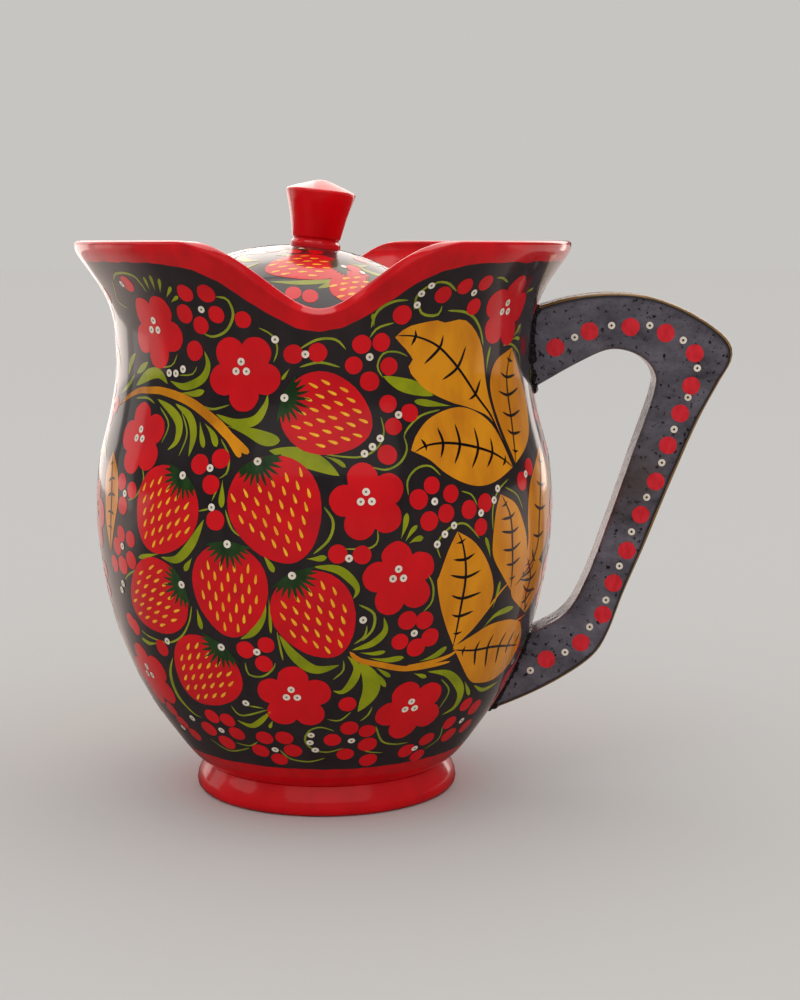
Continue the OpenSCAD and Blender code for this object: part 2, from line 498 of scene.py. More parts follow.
def lacquer(name, colour, second=None, streak=(1, 1, 0.5), scale=110, gloss=1.0, swim=0.12, rough=0.34):
    """Brushed paint under varnish."""
    material, tree, look = shader(name)
    second = second or tuple(c * 0.8 for c in colour[:3]) + (1,)
    share = add(tree, "ShaderNodeMapRange", {0: noise(tree, scale, 4.0, streak), 1: 0.35, 2: 0.75})
    tree.links.new(blend_colours(tree, share, colour, second), look.inputs["Base Color"])
    varnish(tree, look, gloss, swim, rough)
    return material


def varnish(tree, look, gloss=1.0, swim=0.12, rough=0.34):
    """The clear coat that all the painted pieces share."""
    look.inputs["Roughness"].default_value = rough
    look.inputs["Coat Weight"].default_value = gloss
    look.inputs["Coat Roughness"].default_value = 0.1
    look.inputs["Coat IOR"].default_value = 1.5
    look.inputs["Specular IOR Level"].default_value = 0.15
    waves = add(tree, "ShaderNodeBump", {"Strength": swim, "Distance": 0.5 * MM,
                                         "Height": noise(tree, 90, 2.0)})
    tree.links.new(waves, look.inputs["Coat Normal"])
    tree.links.new(waves, look.inputs["Normal"])


red_lacquer = lacquer("red_lacquer", RED)
red_paint = lacquer("red_paint", paint(216, 0, 16), paint(194, 0, 12), scale=90)
print("materials:", [m.name for m in bpy.data.materials])

# %% [markdown]
# ## The painted ground
# The vessel itself is charcoal outside, and red inside, round the rim and at the very bottom. The
# border is a painted line, not an edge of the wood, so the mesh only carries how far each point is
# above that line, and the shader switches colour where the number passes zero. A little noise makes
# the line waver as a brush does.

# %% Ground material
def painted_ground():
    """Charcoal outside, red above the band's edge, inside and at the bottom."""
    material, tree, look = shader("painted_ground")
    drag = noise(tree, 160, 5.0, (1, 1, 0.35))
    dark = blend_colours(tree, add(tree, "ShaderNodeMapRange", {0: drag, 1: 0.3, 2: 0.8}),
                         CHARCOAL, paint(46, 38, 40))
    bright = blend_colours(tree, add(tree, "ShaderNodeMapRange", {0: drag, 1: 0.35, 2: 0.75}),
                           RED, paint(184, 0, 10))
    red_height = add(tree, "ShaderNodeAttribute", out=2, attribute_name="red_height")
    waver = calc(tree, "MULTIPLY", calc(tree, "SUBTRACT", noise(tree, 130, 1.0), 0.5), 1.2)
    height = calc(tree, "ADD", red_height, waver)
    is_red = add(tree, "ShaderNodeMapRange", {0: height, 1: -0.12, 2: 0.12})
    tree.links.new(blend_colours(tree, is_red, dark, bright), look.inputs["Base Color"])
    varnish(tree, look)
    return material


ground = painted_ground()
print("made", ground.name)

# %% [markdown]
# ## The vessel
# The wall is 5.6 mm thick at the belly and 3.8 mm at the lip, with a ledge inside that the lid
# sits on. The outline runs up the outside, over the rim, and down the inside to the middle of the
# floor. Each row says whether it belongs to the outer edge of the lip (0) or the inner (1), because a
# scoop cuts the two at different heights.

# %% Height of the scooped rim
RIM, LIP_WALL, BELLY_WALL = 190, 3.8, 5.6
# Half the width and the depth of a scoop, on the outer and on the inner edge of the lip.
SCOOP = ((43, 21.6), (38, 19.6))
# Distance in mm from the middle of the jug to the middle of the front and of the back scoop.
FRONT_MIDDLE, BACK_MIDDLE = 1.5, -14


def scoop_share(angle, half_width):
    """How deep the scoop is here: 1 in its middle, 0 beside it."""
    middle = FRONT_MIDDLE if math.cos(angle) > 0 else BACK_MIDDLE
    across = abs(side_radius(180) * math.sin(angle) - middle) / half_width
    return 0.5 + 0.5 * math.cos(math.pi * min(across, 1))


def cut_height(angle, inner):
    """Height in mm at which the saw leaves the outer (0) or inner (1) edge of the lip."""
    half_width, depth = SCOOP[inner]
    return RIM - 1 - depth * scoop_share(angle, half_width)


# Columns of points round the vessel.
ROUND = 288
angles = [math.tau * k / ROUND for k in range(ROUND)]
rim = plain_mesh("rim", [(cut_height(a, 0) * MM, cut_height(a, 1) * MM, (RIM - 1) * MM)
                         for a in angles], [])
print("lowest point of the rim:", round(min(cut_height(a, 0) for a in angles), 1), "mm")

# %% Turn the vessel
FLOOR_Z, SEAT_Z, SEAT_R, LEDGE = 15.5, 155.2, 57.5, 6
outer = [(r, 0, z) for r, z in smooth(SIDE_KEYS, 6)]
lip_top = [(84.15, 0.05, 189.6), (83.4, 0.2, 190), (82.4, 0.5, 190.1), (81.4, 0.8, 190),
           (80.85, 0.95, 189.6)]
lip_inside = [(r - LIP_WALL, 1, z) for r, z in reversed(smooth(SIDE_KEYS, 4)) if SEAT_Z + 1.5 < z]
ledge = [(r, 1, z) for r, z in soften(
    [(67.6, 158.4), (67.4, SEAT_Z), (SEAT_R, SEAT_Z), (SEAT_R, SEAT_Z - LEDGE), (66.6, 138.2)], 0.8)]
belly_inside = [(r - BELLY_WALL, 1, z) for r, z in reversed(smooth(SIDE_KEYS, 4)) if 24.5 < z < 138]
bottom_inside = [(46.5, 1, 21), (41, 1, 17.3), (34, 1, FLOOR_Z), (20, 1, FLOOR_Z), (0, 1, FLOOR_Z)]
underside = [(0, 0, 9.9), (20, 0, 9.9), (42.4, 0, 9.9)]
vessel = turn("vessel_body", underside + outer + lip_top + lip_inside + ledge[1:] + belly_inside
              + bottom_inside, ground, ROUND, still_mm=158, rim=rim)


# %% Mark what is painted red
RED_BOTTOM = 18.2
# The band's lower edge by degrees away from the middle of the front scoop, in mm of height.
BAND = [(0, 162.3), (6, 163.6), (12, 167.6), (18, 172.6), (23.5, 178), (28, 180.8), (34, 182.6), (42, 183.4),
        (180, 183.4)]
SCOOP_AT = (1, 190)


def band_edge(angle):
    """Lower edge of the red band in mm: level, and dipping under each scoop."""
    away = [abs((math.degrees(angle) - middle + 180) % 360 - 180) for middle in SCOOP_AT]
    return float(np.interp(min(away), *zip(*BAND)))


edges = [band_edge(a) for a in angles]
# This many mm under the outside the wall counts as inside, and from there the number grows faster.
INSIDE_FROM, INSIDE_GROWTH = 1.5, 4


def store(obj, name, kind, values):
    """Stores one number or vector for each point of an object."""
    data = obj.data.attributes.new(name, kind, "POINT").data
    data.foreach_set("vector" if kind == "FLOAT_VECTOR" else "value", np.array(values, float).ravel())


def mark_red(piece):
    """Stores how many mm each point is above the band's edge, or below the bottom line."""
    heights = []
    for vertex in piece.data.vertices:
        x, y, z = (c / MM for c in vertex.co)
        column = math.atan2(x, -y) / math.tau * ROUND % ROUND
        edge = edges[round(column) % ROUND]
        away = side_radius(z) - math.hypot(x, y)
        heights.append(max(z - edge, RED_BOTTOM - z, (away - INSIDE_FROM) * INSIDE_GROWTH))
    store(piece, "red_height", "FLOAT", heights)
    print("red share of the points:", round(sum(h > 0 for h in heights) / len(heights), 2))


mark_red(vessel)
give(vessel, "jug", "painted_ground", "vessel")

# %% [markdown]
# ## Foot, lid and knob
# The foot is a separate turned ring glued under the vessel, red all over. The lid is a shallow dome
# with a flange that rests on the ledge and a short ring under it. It was put back slightly askew, so
# lid and knob share one lean and one shift. The knob flares upwards from a thin collar.

# %% Foot
FOOT = [(0, 0), (30, 0), (43.6, 0), (44.8, 0.5), (45.5, 1.4), (45.7, 2.6), (45.4, 4.6), (44.6, 6.6),
        (43.6, 8.2), (42.7, 10), (30, 10), (0, 10)]
foot = turn("foot_ring", soften(FOOT[:3], 0.3) + FOOT[3:9] + soften(FOOT[8:], 0.3)[1:], red_lacquer, 160)
give(foot, "jug", "red_lacquer", "foot")

# %% Lid and knob
LID_SHIFT = (-3 * MM, 0, 188.4 * MM)
LID_LEAN = (0, math.radians(6.4), 0)
DOME_R, DOME_WALL, FLANGE_IN, LID_R = 74, 5, 52, 64.6


def dome_drop(r, big):
    """How far a sphere's surface lies below its top, r away from the axis."""
    return big - math.sqrt(big * big - r * r)


flange_z = -dome_drop(FLANGE_IN, DOME_R)
dome_outside = [(r, -dome_drop(r, DOME_R)) for r in range(0, FLANGE_IN + 1, 2)]
dome_inside = [(r, -DOME_WALL - dome_drop(r, DOME_R - DOME_WALL)) for r in range(FLANGE_IN, -1, -2)]
flange = [(FLANGE_IN, flange_z), (55, flange_z - 1.2), (LID_R, flange_z - 1.6),
          (LID_R, flange_z - 4.4), (56, flange_z - 4.4), (56, -30), (53, -30), (FLANGE_IN, dome_inside[0][1])]
lid = turn("lid_dome", dome_outside[:-1] + soften(flange, 0.8) + dome_inside[1:], ground, 192,
           shift=LID_SHIFT, lean=LID_LEAN)
lid_axis = Vector((math.sin(LID_LEAN[1]), 0, math.cos(LID_LEAN[1])))
# The lid is red past this radius, and under the dome out to where the ring beneath it begins.
RED_FROM_R, RING_R, RED_UNDER = 61.5, 54, 3
# The dome's curve is read no further out than this.
DOME_LIMIT = 60
lid_heights = []
for vertex in lid.data.vertices:
    from_top = vertex.co - Vector(LID_SHIFT)
    height = from_top.dot(lid_axis) / MM
    radius = (from_top - lid_axis * from_top.dot(lid_axis)).length / MM
    above_inside = height + DOME_WALL / 2 + dome_drop(min(radius, DOME_LIMIT), DOME_R)
    under_dome = -above_inside if radius < RING_R else -RED_UNDER
    lid_heights.append(max(radius - RED_FROM_R, under_dome, flange_z - RED_UNDER - height))
store(lid, "red_height", "FLOAT", lid_heights)
give(lid, "lid", "painted_ground", "lid")

KNOB = [(0, -1.4), (8.5, -1.4), (8.6, 0.05), (8.5, 0.9), (8.0, 1.5), (7.7, 1.9), (7.8, 2.4),
        (8.3, 2.9), (8.9, 6), (9.7, 10), (10.9, 14.4), (11.8, 17.4), (11.9, 18.2), (11.4, 18.9),
        (8.9, 19.9), (3, 21.9), (1.2, 22.3), (0, 22.4)]
knob = turn("knob_flared", soften(KNOB, 0.35), red_lacquer, 96, shift=LID_SHIFT, lean=LID_LEAN)
give(knob, "lid", "red_lacquer", "knob")

# %% [markdown]
# ## Paint that lies on the wood
# Each berry, leaf and stroke is a thin skin of paint that lies between a twentieth and a fifth of a
# millimetre above the wood, the later coats higher. It could be an image wrapped round the jug, but
# shapes keep their edges at any distance. Every shape is drawn
# flat and carries a place: the angle and height it belongs to, and its layer. A tree then lays it on
# the surface, along the arc and up the slope, so that a round berry stays round anywhere on the belly.

# %% Three surfaces to paint on
PLANK_FACE = 8.0
# How high each kind of paint lies above the wood, in mm.
LAYER = {"tendril": 0.045, "grass": 0.05, "dab": 0.06, "branch": 0.065, "fruit": 0.07, "wing": 0.10,
         "vein": 0.11, "seed": 0.12, "sepal": 0.13, "middle_on_handle": 0.14, "white": 0.18, "middle": 0.22}


def on_side(tree, given):
    """Lays flat paint on the vessel: place is (radians from the front, height, layer)."""
    angle, height, layer = split(tree, stored(tree, "place"))
    x, y, _ = split(tree, add(tree, "GeometryNodeInputPosition"))
    points = outline_points(tree, given["Outline"])
    slope = side_at(tree, points, height)[1]
    steep = calc(tree, "SQRT", calc(tree, "ADD", calc(tree, "MULTIPLY", slope, slope), 1.0))
    z = calc(tree, "ADD", height, calc(tree, "DIVIDE", y, steep))
    radius, lean = side_at(tree, points, z)
    unit = calc(tree, "SQRT", calc(tree, "ADD", calc(tree, "MULTIPLY", lean, lean), 1.0))
    out = calc(tree, "DIVIDE", layer, unit)
    turned_by = calc(tree, "ADD", angle, calc(tree, "DIVIDE", x, radius))
    reach = calc(tree, "ADD", radius, out)
    forward = calc(tree, "MULTIPLY", reach, calc(tree, "COSINE", turned_by))
    return joined(tree, calc(tree, "MULTIPLY", reach, calc(tree, "SINE", turned_by)),
                  calc(tree, "MULTIPLY", forward, -1.0),
                  calc(tree, "SUBTRACT", z, calc(tree, "MULTIPLY", out, lean)))


def on_dome(tree, given):
    """Lays flat paint on the lid's dome: place is (x, y, layer), seen from above the lid."""
    x0, y0, layer = split(tree, stored(tree, "place"))
    x, y, _ = split(tree, add(tree, "GeometryNodeInputPosition"))
    flat_spot = joined(tree, calc(tree, "ADD", x0, x), calc(tree, "ADD", y0, y), 0.0)
    across = add(tree, "ShaderNodeVectorMath", {0: flat_spot}, out=1, operation="LENGTH")
    big = calc(tree, "ADD", layer, DOME_R * MM)
    squares = calc(tree, "SUBTRACT", calc(tree, "MULTIPLY", big, big),
                   calc(tree, "MULTIPLY", across, across))
    up = calc(tree, "SUBTRACT", calc(tree, "SQRT", squares), DOME_R * MM)
    return add(tree, "ShaderNodeVectorMath", {0: flat_spot, 1: joined(tree, 0.0, 0.0, up)},
               operation="ADD")


def on_plank(tree, given):
    """Lays flat paint on the front face of the handle: place is (x, height, layer)."""
    x0, z0, layer = split(tree, stored(tree, "place"))
    x, y, _ = split(tree, add(tree, "GeometryNodeInputPosition"))
    face = calc(tree, "SUBTRACT", -PLANK_FACE * MM, layer)
    return joined(tree, calc(tree, "ADD", x0, x), face, calc(tree, "ADD", z0, y))


print("surfaces: side, dome and plank")

# %% [markdown]
# ## Two kinds of mark
# A dab is one template put down again and again, such as a berry. A stroke is a line that swells and
# tapers with the pressure of the brush. Both end in the same few nodes: lay the marks on the surface,
# repeat the drawing round the axis as the painter does, and set the paint.

# %% Trees for dabs and strokes
PAINT_INPUTS = [("Outline", "Object", None), ("Template", "Object", None), ("Copies", "Int", 1),
                ("Shift", "Vector", None), ("Lean", "Vector", None), ("Swell", "Float", 1.0),
                ("Taper", "Float", 0.9), ("Step", "Float", 1.4 * MM), ("Hand", "Float", 0.0),
                ("Material", "Material", None)]


def lay_down(tree, given, marks, surface):
    """The end of both trees."""
    place = stored(tree, "place")
    spot = add(tree, "ShaderNodeVectorMath", {0: add(tree, "GeometryNodeInputPosition"), 1: place},
               operation="ADD")
    wander = add(tree, "ShaderNodeTexNoise", {"Vector": spot, "Scale": 260.0, "Detail": 1.0}, out=1)
    centred = add(tree, "ShaderNodeVectorMath", {0: wander, 1: (0.5, 0.5, 0.5)}, operation="SUBTRACT")
    flat_only = add(tree, "ShaderNodeVectorMath",
                    {0: centred, 1: joined(tree, given["Hand"], given["Hand"], 0.0)}, operation="MULTIPLY")
    drawn = add(tree, "GeometryNodeSetPosition", {"Geometry": marks, "Offset": flat_only})
    laid = add(tree, "GeometryNodeSetPosition", {"Geometry": drawn, "Position": surface(tree, given)})
    centres = add(tree, "GeometryNodeMeshLine", {"Count": given["Copies"], "Offset": (0, 0, 0)})
    number = add(tree, "GeometryNodeInputIndex")
    turn_by = calc(tree, "MULTIPLY", calc(tree, "DIVIDE", number, given["Copies"]), math.tau)
    copies = add(tree, "GeometryNodeInstanceOnPoints",
                 {"Points": centres, "Instance": laid, "Rotation": joined(tree, 0.0, 0.0, turn_by)})
    real = add(tree, "GeometryNodeRealizeInstances", {0: copies})
    placed = add(tree, "GeometryNodeTransform",
                 {"Geometry": real, "Translation": given["Shift"], "Rotation": given["Lean"]})
    close(tree, placed, given["Material"])
    return tree


def dab_tree(name, surface):
    """Puts a template on each point, turned and sized by the point's own numbers."""
    tree, given = new_tree(name, PAINT_INPUTS)
    template = add(tree, "GeometryNodeObjectInfo", {"Object": given["Template"]}, out=4)
    turning_by = joined(tree, 0.0, 0.0, stored(tree, "turn", "FLOAT"))
    dabs = add(tree, "GeometryNodeInstanceOnPoints",
               {"Points": given["Geometry"], "Instance": template, "Rotation": turning_by,
                "Scale": stored(tree, "size")})
    remembered = add(tree, "GeometryNodeStoreNamedAttribute",
                     {"Geometry": dabs, "Name": "place", "Value": add(tree, "GeometryNodeInputPosition")},
                     data_type="FLOAT_VECTOR", domain="INSTANCE")
    centred = add(tree, "GeometryNodeSetPosition",
                  {"Geometry": remembered, "Position": joined(tree, 0.0, 0.0, 0.0)})
    return lay_down(tree, given, add(tree, "GeometryNodeRealizeInstances", {0: centred}), surface)


def stroke_tree(name, surface):
    """Turns polylines into flat strokes that swell and taper."""
    tree, given = new_tree(name, PAINT_INPUTS)
    lines = add(tree, "GeometryNodeMeshToCurve", {0: given["Geometry"]})
    curved = add(tree, "GeometryNodeCurveSplineType", {0: lines}, spline_type="CATMULL_ROM")
    even = add(tree, "GeometryNodeResampleCurve", {"Curve": curved, "Length": given["Step"]}, mode="LENGTH")
    level = add(tree, "GeometryNodeSetCurveNormal", {0: even}, mode="Z_UP")
    part = add(tree, "GeometryNodeSplineParameter")
    swell = calc(tree, "SINE", calc(tree, "MULTIPLY", calc(tree, "POWER", part, given["Swell"]), math.pi))
    press = calc(tree, "POWER", calc(tree, "MAXIMUM", swell, 0.002), given["Taper"])
    half = calc(tree, "MULTIPLY", calc(tree, "MULTIPLY", stored(tree, "width", "FLOAT"), 0.5), press)
    brush = add(tree, "GeometryNodeCurvePrimitiveLine", {"Start": (-1, 0, 0), "End": (1, 0, 0)})
    hairs = add(tree, "GeometryNodeResampleCurve", {"Curve": brush, "Count": 4})
    marks = add(tree, "GeometryNodeCurveToMesh", {"Curve": level, "Profile Curve": hairs, "Scale": half})
    return lay_down(tree, given, marks, surface)


def flat_tree(name, surface):
    """Lays down shapes that are already drawn."""
    tree, given = new_tree(name, PAINT_INPUTS)
    return lay_down(tree, given, given["Geometry"], surface)


side_dabs, side_strokes = dab_tree("side_dabs", on_side), stroke_tree("side_strokes", on_side)
side_shapes = flat_tree("side_shapes", on_side)
dome_dabs, dome_strokes = dab_tree("dome_dabs", on_dome), stroke_tree("dome_strokes", on_dome)
plank_dabs, plank_strokes = dab_tree("plank_dabs", on_plank), stroke_tree("plank_strokes", on_plank)
print("dab tree:", len(side_dabs.nodes), "nodes, stroke tree:", len(side_strokes.nodes))


# %% [markdown]
# ## Templates
# A berry is a round dab, a blossom is five round dabs that run together, and a strawberry is an egg,
# broad where it hangs and narrow at the tip. All of them are one outline filled with rings, which keeps
# the faces small enough to follow the belly's curve.

# %% Draw the templates
def filled(name, outline_at, sides, rings):
    """A flat shape filled with rings from its middle to an outline given by angle."""
    points, faces = [(0, 0, 0)], []
    for ring in range(1, rings + 1):
        for k in range(sides):
            x, y = outline_at(math.tau * k / sides)
            points.append((x * ring / rings, y * ring / rings, 0))
    for k in range(sides):
        after = (k + 1) % sides
        faces.append((0, 1 + k, 1 + after))
        for ring in range(1, rings):
            low, high = 1 + (ring - 1) * sides, 1 + ring * sides
            faces.append((low + k, high + k, high + after, low + after))
    return plain_mesh(name, points, faces)


PETAL = 0.68


def blossom(t):
    """Outline of five touching petals whose middles are one unit from the centre."""
    away = (t + math.pi / 5) % (math.tau / 5) - math.pi / 5
    reach = math.cos(away) + math.sqrt(max(PETAL ** 2 - math.sin(away) ** 2, 0))
    return reach * math.cos(t), reach * math.sin(t)


def egg(t):
    """Outline of a strawberry one unit long, with its tip up."""
    narrow = 1 - 0.17 * math.sin(t) - 0.05 * math.sin(t) ** 2
    return 0.5 * math.cos(t) * narrow, 0.5 * math.sin(t)


def seed(t):
    """Outline of a seed one unit to each side, fuller towards its upper end."""
    return math.cos(t) * (1 + 0.4 * math.sin(t)), math.sin(t)


def spike(t):
    """Outline of a pointed sepal one unit long that grows from the origin."""
    return 0.5 * math.cos(t) * (1 - 0.45 * math.sin(t)), 0.5 + 0.5 * math.sin(t)


disc = filled("disc", lambda t: (math.cos(t), math.sin(t)), 18, 2)
petals = filled("petals", blossom, 60, 4)
egg_shape = filled("egg", egg, 36, 6)
dash = filled("dash", lambda t: (math.cos(t), math.sin(t)), 8, 1)
drop = filled("drop", seed, 10, 1)
sepal = filled("sepal", spike, 12, 3)
HELPERS = ["outline", "disc", "petals", "egg", "dash", "drop", "sepal"]
print("templates:", HELPERS[1:])


# %% [markdown]
# ## Where each mark goes
# A painter sets the big fruits and blossoms first, then berries, then leaves and grass between them.
# Places are an angle in degrees from the front, growing towards the handle, and a height in
# millimetres. Small helpers move a place by some millimetres along the surface.

# %% Helpers for places
def spot(angle, height):
    """An angle in degrees and a height in mm as radians and metres."""
    return math.radians(angle), height * MM


def steepness(height):
    """Length along the side for each mm of height."""
    return math.hypot(1, side_slope(height))


def moved(angle, height, right, up):
    """The place that lies some mm to the right and up along the surface."""
    new_height = height + up / steepness(height)
    return angle + math.degrees(right / side_radius(new_height)), new_height


def span(first, last):
    """The mm to the right and up between two places, along the surface."""
    middle = (first[1] + last[1]) / 2
    return (math.radians(last[0] - first[0]) * side_radius(middle),
            (last[1] - first[1]) * steepness(middle))


print("one mm at the belly is", round(math.degrees(1 / side_radius(100)), 2), "degrees")


# %% One varnish over wood and paint
def gloss_like(piece, body):
    """Gives paint the normals of the wood under it, so that the varnish runs on without a step."""
    normals = []
    for vertex in piece.data.vertices:
        if body == "lid":
            centre = Vector(LID_SHIFT) - lid_axis * DOME_R * MM
            normals.append((vertex.co - centre).normalized())
        else:
            x, y, z = vertex.co
            flat = Vector((x, y, 0)).normalized()
            normals.append((flat - Vector((0, 0, side_slope(z / MM)))).normalized())
    piece.data.normals_split_custom_set_from_vertices(normals)


print("paint takes the normals of the wood under it")


# %% Dabs, and how all paint is finished
def dabs(name, template, marks, layer, material, slot, where="side", copies=2, hand=0.5):
    """Dabs a template at (place, place, turn in degrees, width, length) in degrees and mm."""
    place = spot if where == "side" else lambda x, y: (x * MM, y * MM)
    source = plain_mesh(name + "_points", [(*place(a, b), layer * MM) for a, b, *_ in marks], [])
    store(source, "turn", "FLOAT", [math.radians(m[2]) for m in marks])
    store(source, "size", "FLOAT_VECTOR", [(m[3] * MM, m[4] * MM, 1) for m in marks])
    trees = {"side": side_dabs, "dome": dome_dabs, "plank": plank_dabs}
    return painted(trees[where], source, name, where, copies, material, slot,
                   Template=template, Hand=hand * MM)


def painted(tree, source, name, where, copies, material, slot, **values):
    """Runs a paint tree, and mends normals and body."""
    if where == "dome":
        values.update(Shift=LID_SHIFT, Lean=LID_LEAN)
    piece = run(tree, source, name, Outline=outline, Copies=copies, Material=material, **values)
    body = "lid" if where == "dome" else "jug"
    work = open_mesh(piece)
    bmesh.ops.dissolve_degenerate(work, dist=SLIVER, edges=work.edges)
    face_out(work, where)
    write_back(work, piece)
    if where != "plank":
        gloss_like(piece, body)
    return give(piece, body, slot)


def face_out(work, where):
    """Turns the paint's faces away from the wood."""
    away = {"plank": Vector((0, -1, 0)), "dome": lid_axis}
    wrong = []
    for face in work.faces:
        middle = face.calc_center_median()
        out = away.get(where) or Vector((middle.x, middle.y, 0))
        if face.normal.dot(out) < 0:
            wrong.append(face)
    bmesh.ops.reverse_faces(work, faces=wrong)


print("a dab is a place, a turn, a width and a length")


# %% Strokes
def strokes(name, lines, layer, material, slot, swell=1.0, taper=0.9, where="side", copies=2, step=1.4,
            hand=0.0):
    """Paints (width, [places]) with a brush that presses most in the middle, or later."""
    points, edges_between, places, widths = [], [], [], []
    for width, line in lines:
        middle = line[len(line) // 2]
        for k, (a, b) in enumerate(line):
            if where == "side":
                x = math.radians(a - middle[0]) * side_radius(b)
                y = (b - middle[1]) * steepness(middle[1])
                places.append((*spot(*middle), layer * MM))
            else:
                x, y = a - middle[0], b - middle[1]
                places.append((middle[0] * MM, middle[1] * MM, layer * MM))
            if k:
                edges_between.append((len(points) - 1, len(points)))
            points.append((x * MM, y * MM, 0))
            widths.append(width * MM)
    source = plain_mesh(name + "_lines", points, [], edges_between)
    store(source, "place", "FLOAT_VECTOR", places)
    store(source, "width", "FLOAT", widths)
    trees = {"side": side_strokes, "dome": dome_strokes, "plank": plank_strokes}
    return painted(trees[where], source, name, where, copies, material, slot,
                   Swell=swell, Taper=taper, Step=step * MM, Hand=hand * MM)


print("a stroke is a width and a line of places")

# %% [markdown]
# ## Paints
# The brush leaves its own grain in every colour. Greens are the thinnest and vary the most; the gold
# is an ochre that shows light through varnish; the white dots are thick and plain.

# %% Paint materials
gold_paint = lacquer("gold_paint", GOLD, paint(190, 108, 0), streak=(1.5, 1.5, 0.6), scale=70)
green_paint = lacquer("green_paint", paint(150, 156, 0), paint(116, 128, 4), streak=(1, 1, 1), scale=120)
fine_green = lacquer("fine_green_paint", paint(146, 152, 30), paint(110, 124, 24), scale=200)
dark_green = lacquer("dark_green_paint", paint(38, 70, 28), paint(18, 42, 18), scale=260)
black_paint = lacquer("black_paint", paint(20, 14, 14), paint(10, 8, 8), scale=200)
white_paint = lacquer("white_paint", paint(238, 226, 210), paint(214, 198, 178), scale=400)
grey_paint = lacquer("grey_green_paint", paint(112, 122, 104), paint(88, 98, 84), scale=400)
seed_paint = lacquer("seed_paint", paint(250, 186, 40), paint(232, 140, 24), scale=500)
fruit_paint = lacquer("fruit_paint", paint(214, 0, 14), paint(190, 2, 20), streak=(1, 1, 1), scale=110)
print("paints:", len(bpy.data.materials))

# %% [markdown]
# ## Strawberries
# Seven big fruits hang at the front and two at the side, each from its own calyx, and the far half of
# the jug repeats them. A fruit is an egg of red,
# then a fan of dark sepals at its broad end, then staggered rows of short yellow seeds that point to
# the tip. The seeds follow a rule, so a loop lays them out inside the egg.

# %% Fruit, seeds and sepals
# Each fruit: where it hangs, where its tip is, and its width in mm.
FRUITS = [((-8, 142.2), (13.5, 131.6), 25.4), ((-13.7, 123), (-4.2, 91.5), 29.4),
          ((-32.8, 117.5), (-44.3, 92.5), 26.8), ((-20.5, 97.2), (-21, 66.5), 26),
          ((-33.4, 82.5), (-53.8, 70.5), 25.4), ((-24.3, 63), (-38.8, 43), 26), ((-5.5, 88), (5, 61.5), 26),
          ((-90, 118), (-84, 88), 27), ((-84, 74), (-92, 48), 25)]
SEED_ROWS, SEED_PITCH, SEED_MARGIN, SEED_FAN = 8, 4.6, 1.8, 0.7
FIRST_SEED, SEED_RUN = 0.14, 0.85
SEED_SIZE, CAP_R = (0.45, 1.6), 1.25
# Sepals to each side of the middle one, degrees and mm between two, width, length, and how that shrinks.
SEPALS, SEPAL_TURN, SEPAL_GAP, SEPAL_WIDTH, SEPAL_LENGTH, SEPAL_SHRINK = 5, 17, 0.3, 1.25, 8.2, 0.35
# The dark wing beside the sepals: mm towards the tip, and share of the fruit's width to the side.
WING = [(0.1, 0), (0.4, 0.09), (1.1, 0.17), (2.3, 0.24)]


def fruit_marks(fruits, shift):
    """The marks for fruits, seeds, sepals, the wings beside them, and the dot on top."""
    eggs, seeds, sepals, wings, caps = [], [], [], [], []
    for hang, tip, width in fruits:
        right, up = (span if shift is moved else lambda p, q: (q[0] - p[0], q[1] - p[1]))(hang, tip)
        length = math.hypot(right, up)
        way = math.atan2(up, right)
        turn_by = math.degrees(way) - 90
        ahead, beside = (math.cos(way), math.sin(way)), (math.sin(way), -math.cos(way))

        def at(forward, side, hang=hang, ahead=ahead, beside=beside):
            return shift(*hang, ahead[0] * forward + beside[0] * side,
                         ahead[1] * forward + beside[1] * side)

        eggs.append((*at(length / 2, 0), turn_by, width, length))
        for row in range(1, SEED_ROWS):
            forward = length * (FIRST_SEED + SEED_RUN * row / SEED_ROWS)
            reach = egg(math.asin(min(max(2 * forward / length - 1, -1), 1)))[0] * width - SEED_MARGIN
            columns = int(reach / SEED_PITCH + (0.5 if row % 2 else 0))
            for k in range(-columns, columns + 1 - row % 2):
                side = (k + 0.5 * (row % 2)) * SEED_PITCH
                if abs(side) < reach:
                    seeds.append((*at(forward, side), turn_by + side * SEED_FAN, *SEED_SIZE))
        for k in range(-SEPALS, SEPALS + 1):
            sepals.append((*at(0.6, k * SEPAL_GAP), turn_by - k * SEPAL_TURN, SEPAL_WIDTH,
                           SEPAL_LENGTH - SEPAL_SHRINK * abs(k)))
        for way_out in (-1, 1):
            wings.append((1.5, [at(forward, way_out * width * share) for forward, share in WING]))
        caps.append((*at(0.4, 0), 0, CAP_R, CAP_R))
    return eggs, seeds, sepals, wings, caps


eggs, seeds, sepals, wings, fruit_caps = fruit_marks(FRUITS, moved)
dabs("strawberries", egg_shape, eggs, LAYER["fruit"], fruit_paint, "red_lacquer")
dabs("strawberry_seeds", drop, seeds, LAYER["seed"], seed_paint, "gold_paint")
dabs("strawberry_sepals", sepal, sepals, LAYER["sepal"], dark_green, "dark_green_paint", hand=0.3)
strokes("strawberry_caps", wings, LAYER["wing"], dark_green, "dark_green_paint", taper=0.5, step=0.9)

# %% [markdown]
# ## Blossoms and berries
# Blossoms have five petals and three white dots in the middle. Berries are pressed on with a round
# dabber in bunches of three to seven, and fine tendrils join them. No two dabs are the same size, so
# a seeded draw makes each berry a little larger or smaller.

# %% Blossoms
# Each blossom: angle, height, and the direction of one petal.
BLOSSOMS = [(-19, 151, 56), (-46.5, 163, -86), (-50.5, 128, 102), (11.5, 111.5, 103), (19, 87, 101),
            (-7, 47.5, 90), (26.5, 41.5, 116), (55, 168.5, -60), (-57, 48, 103), (77, 42, 95),
            (-86, 154, 90), (-76, 100, 80), (86, 100, 90), (-98, 76, 70)]
BLOSSOM_R = 7.3
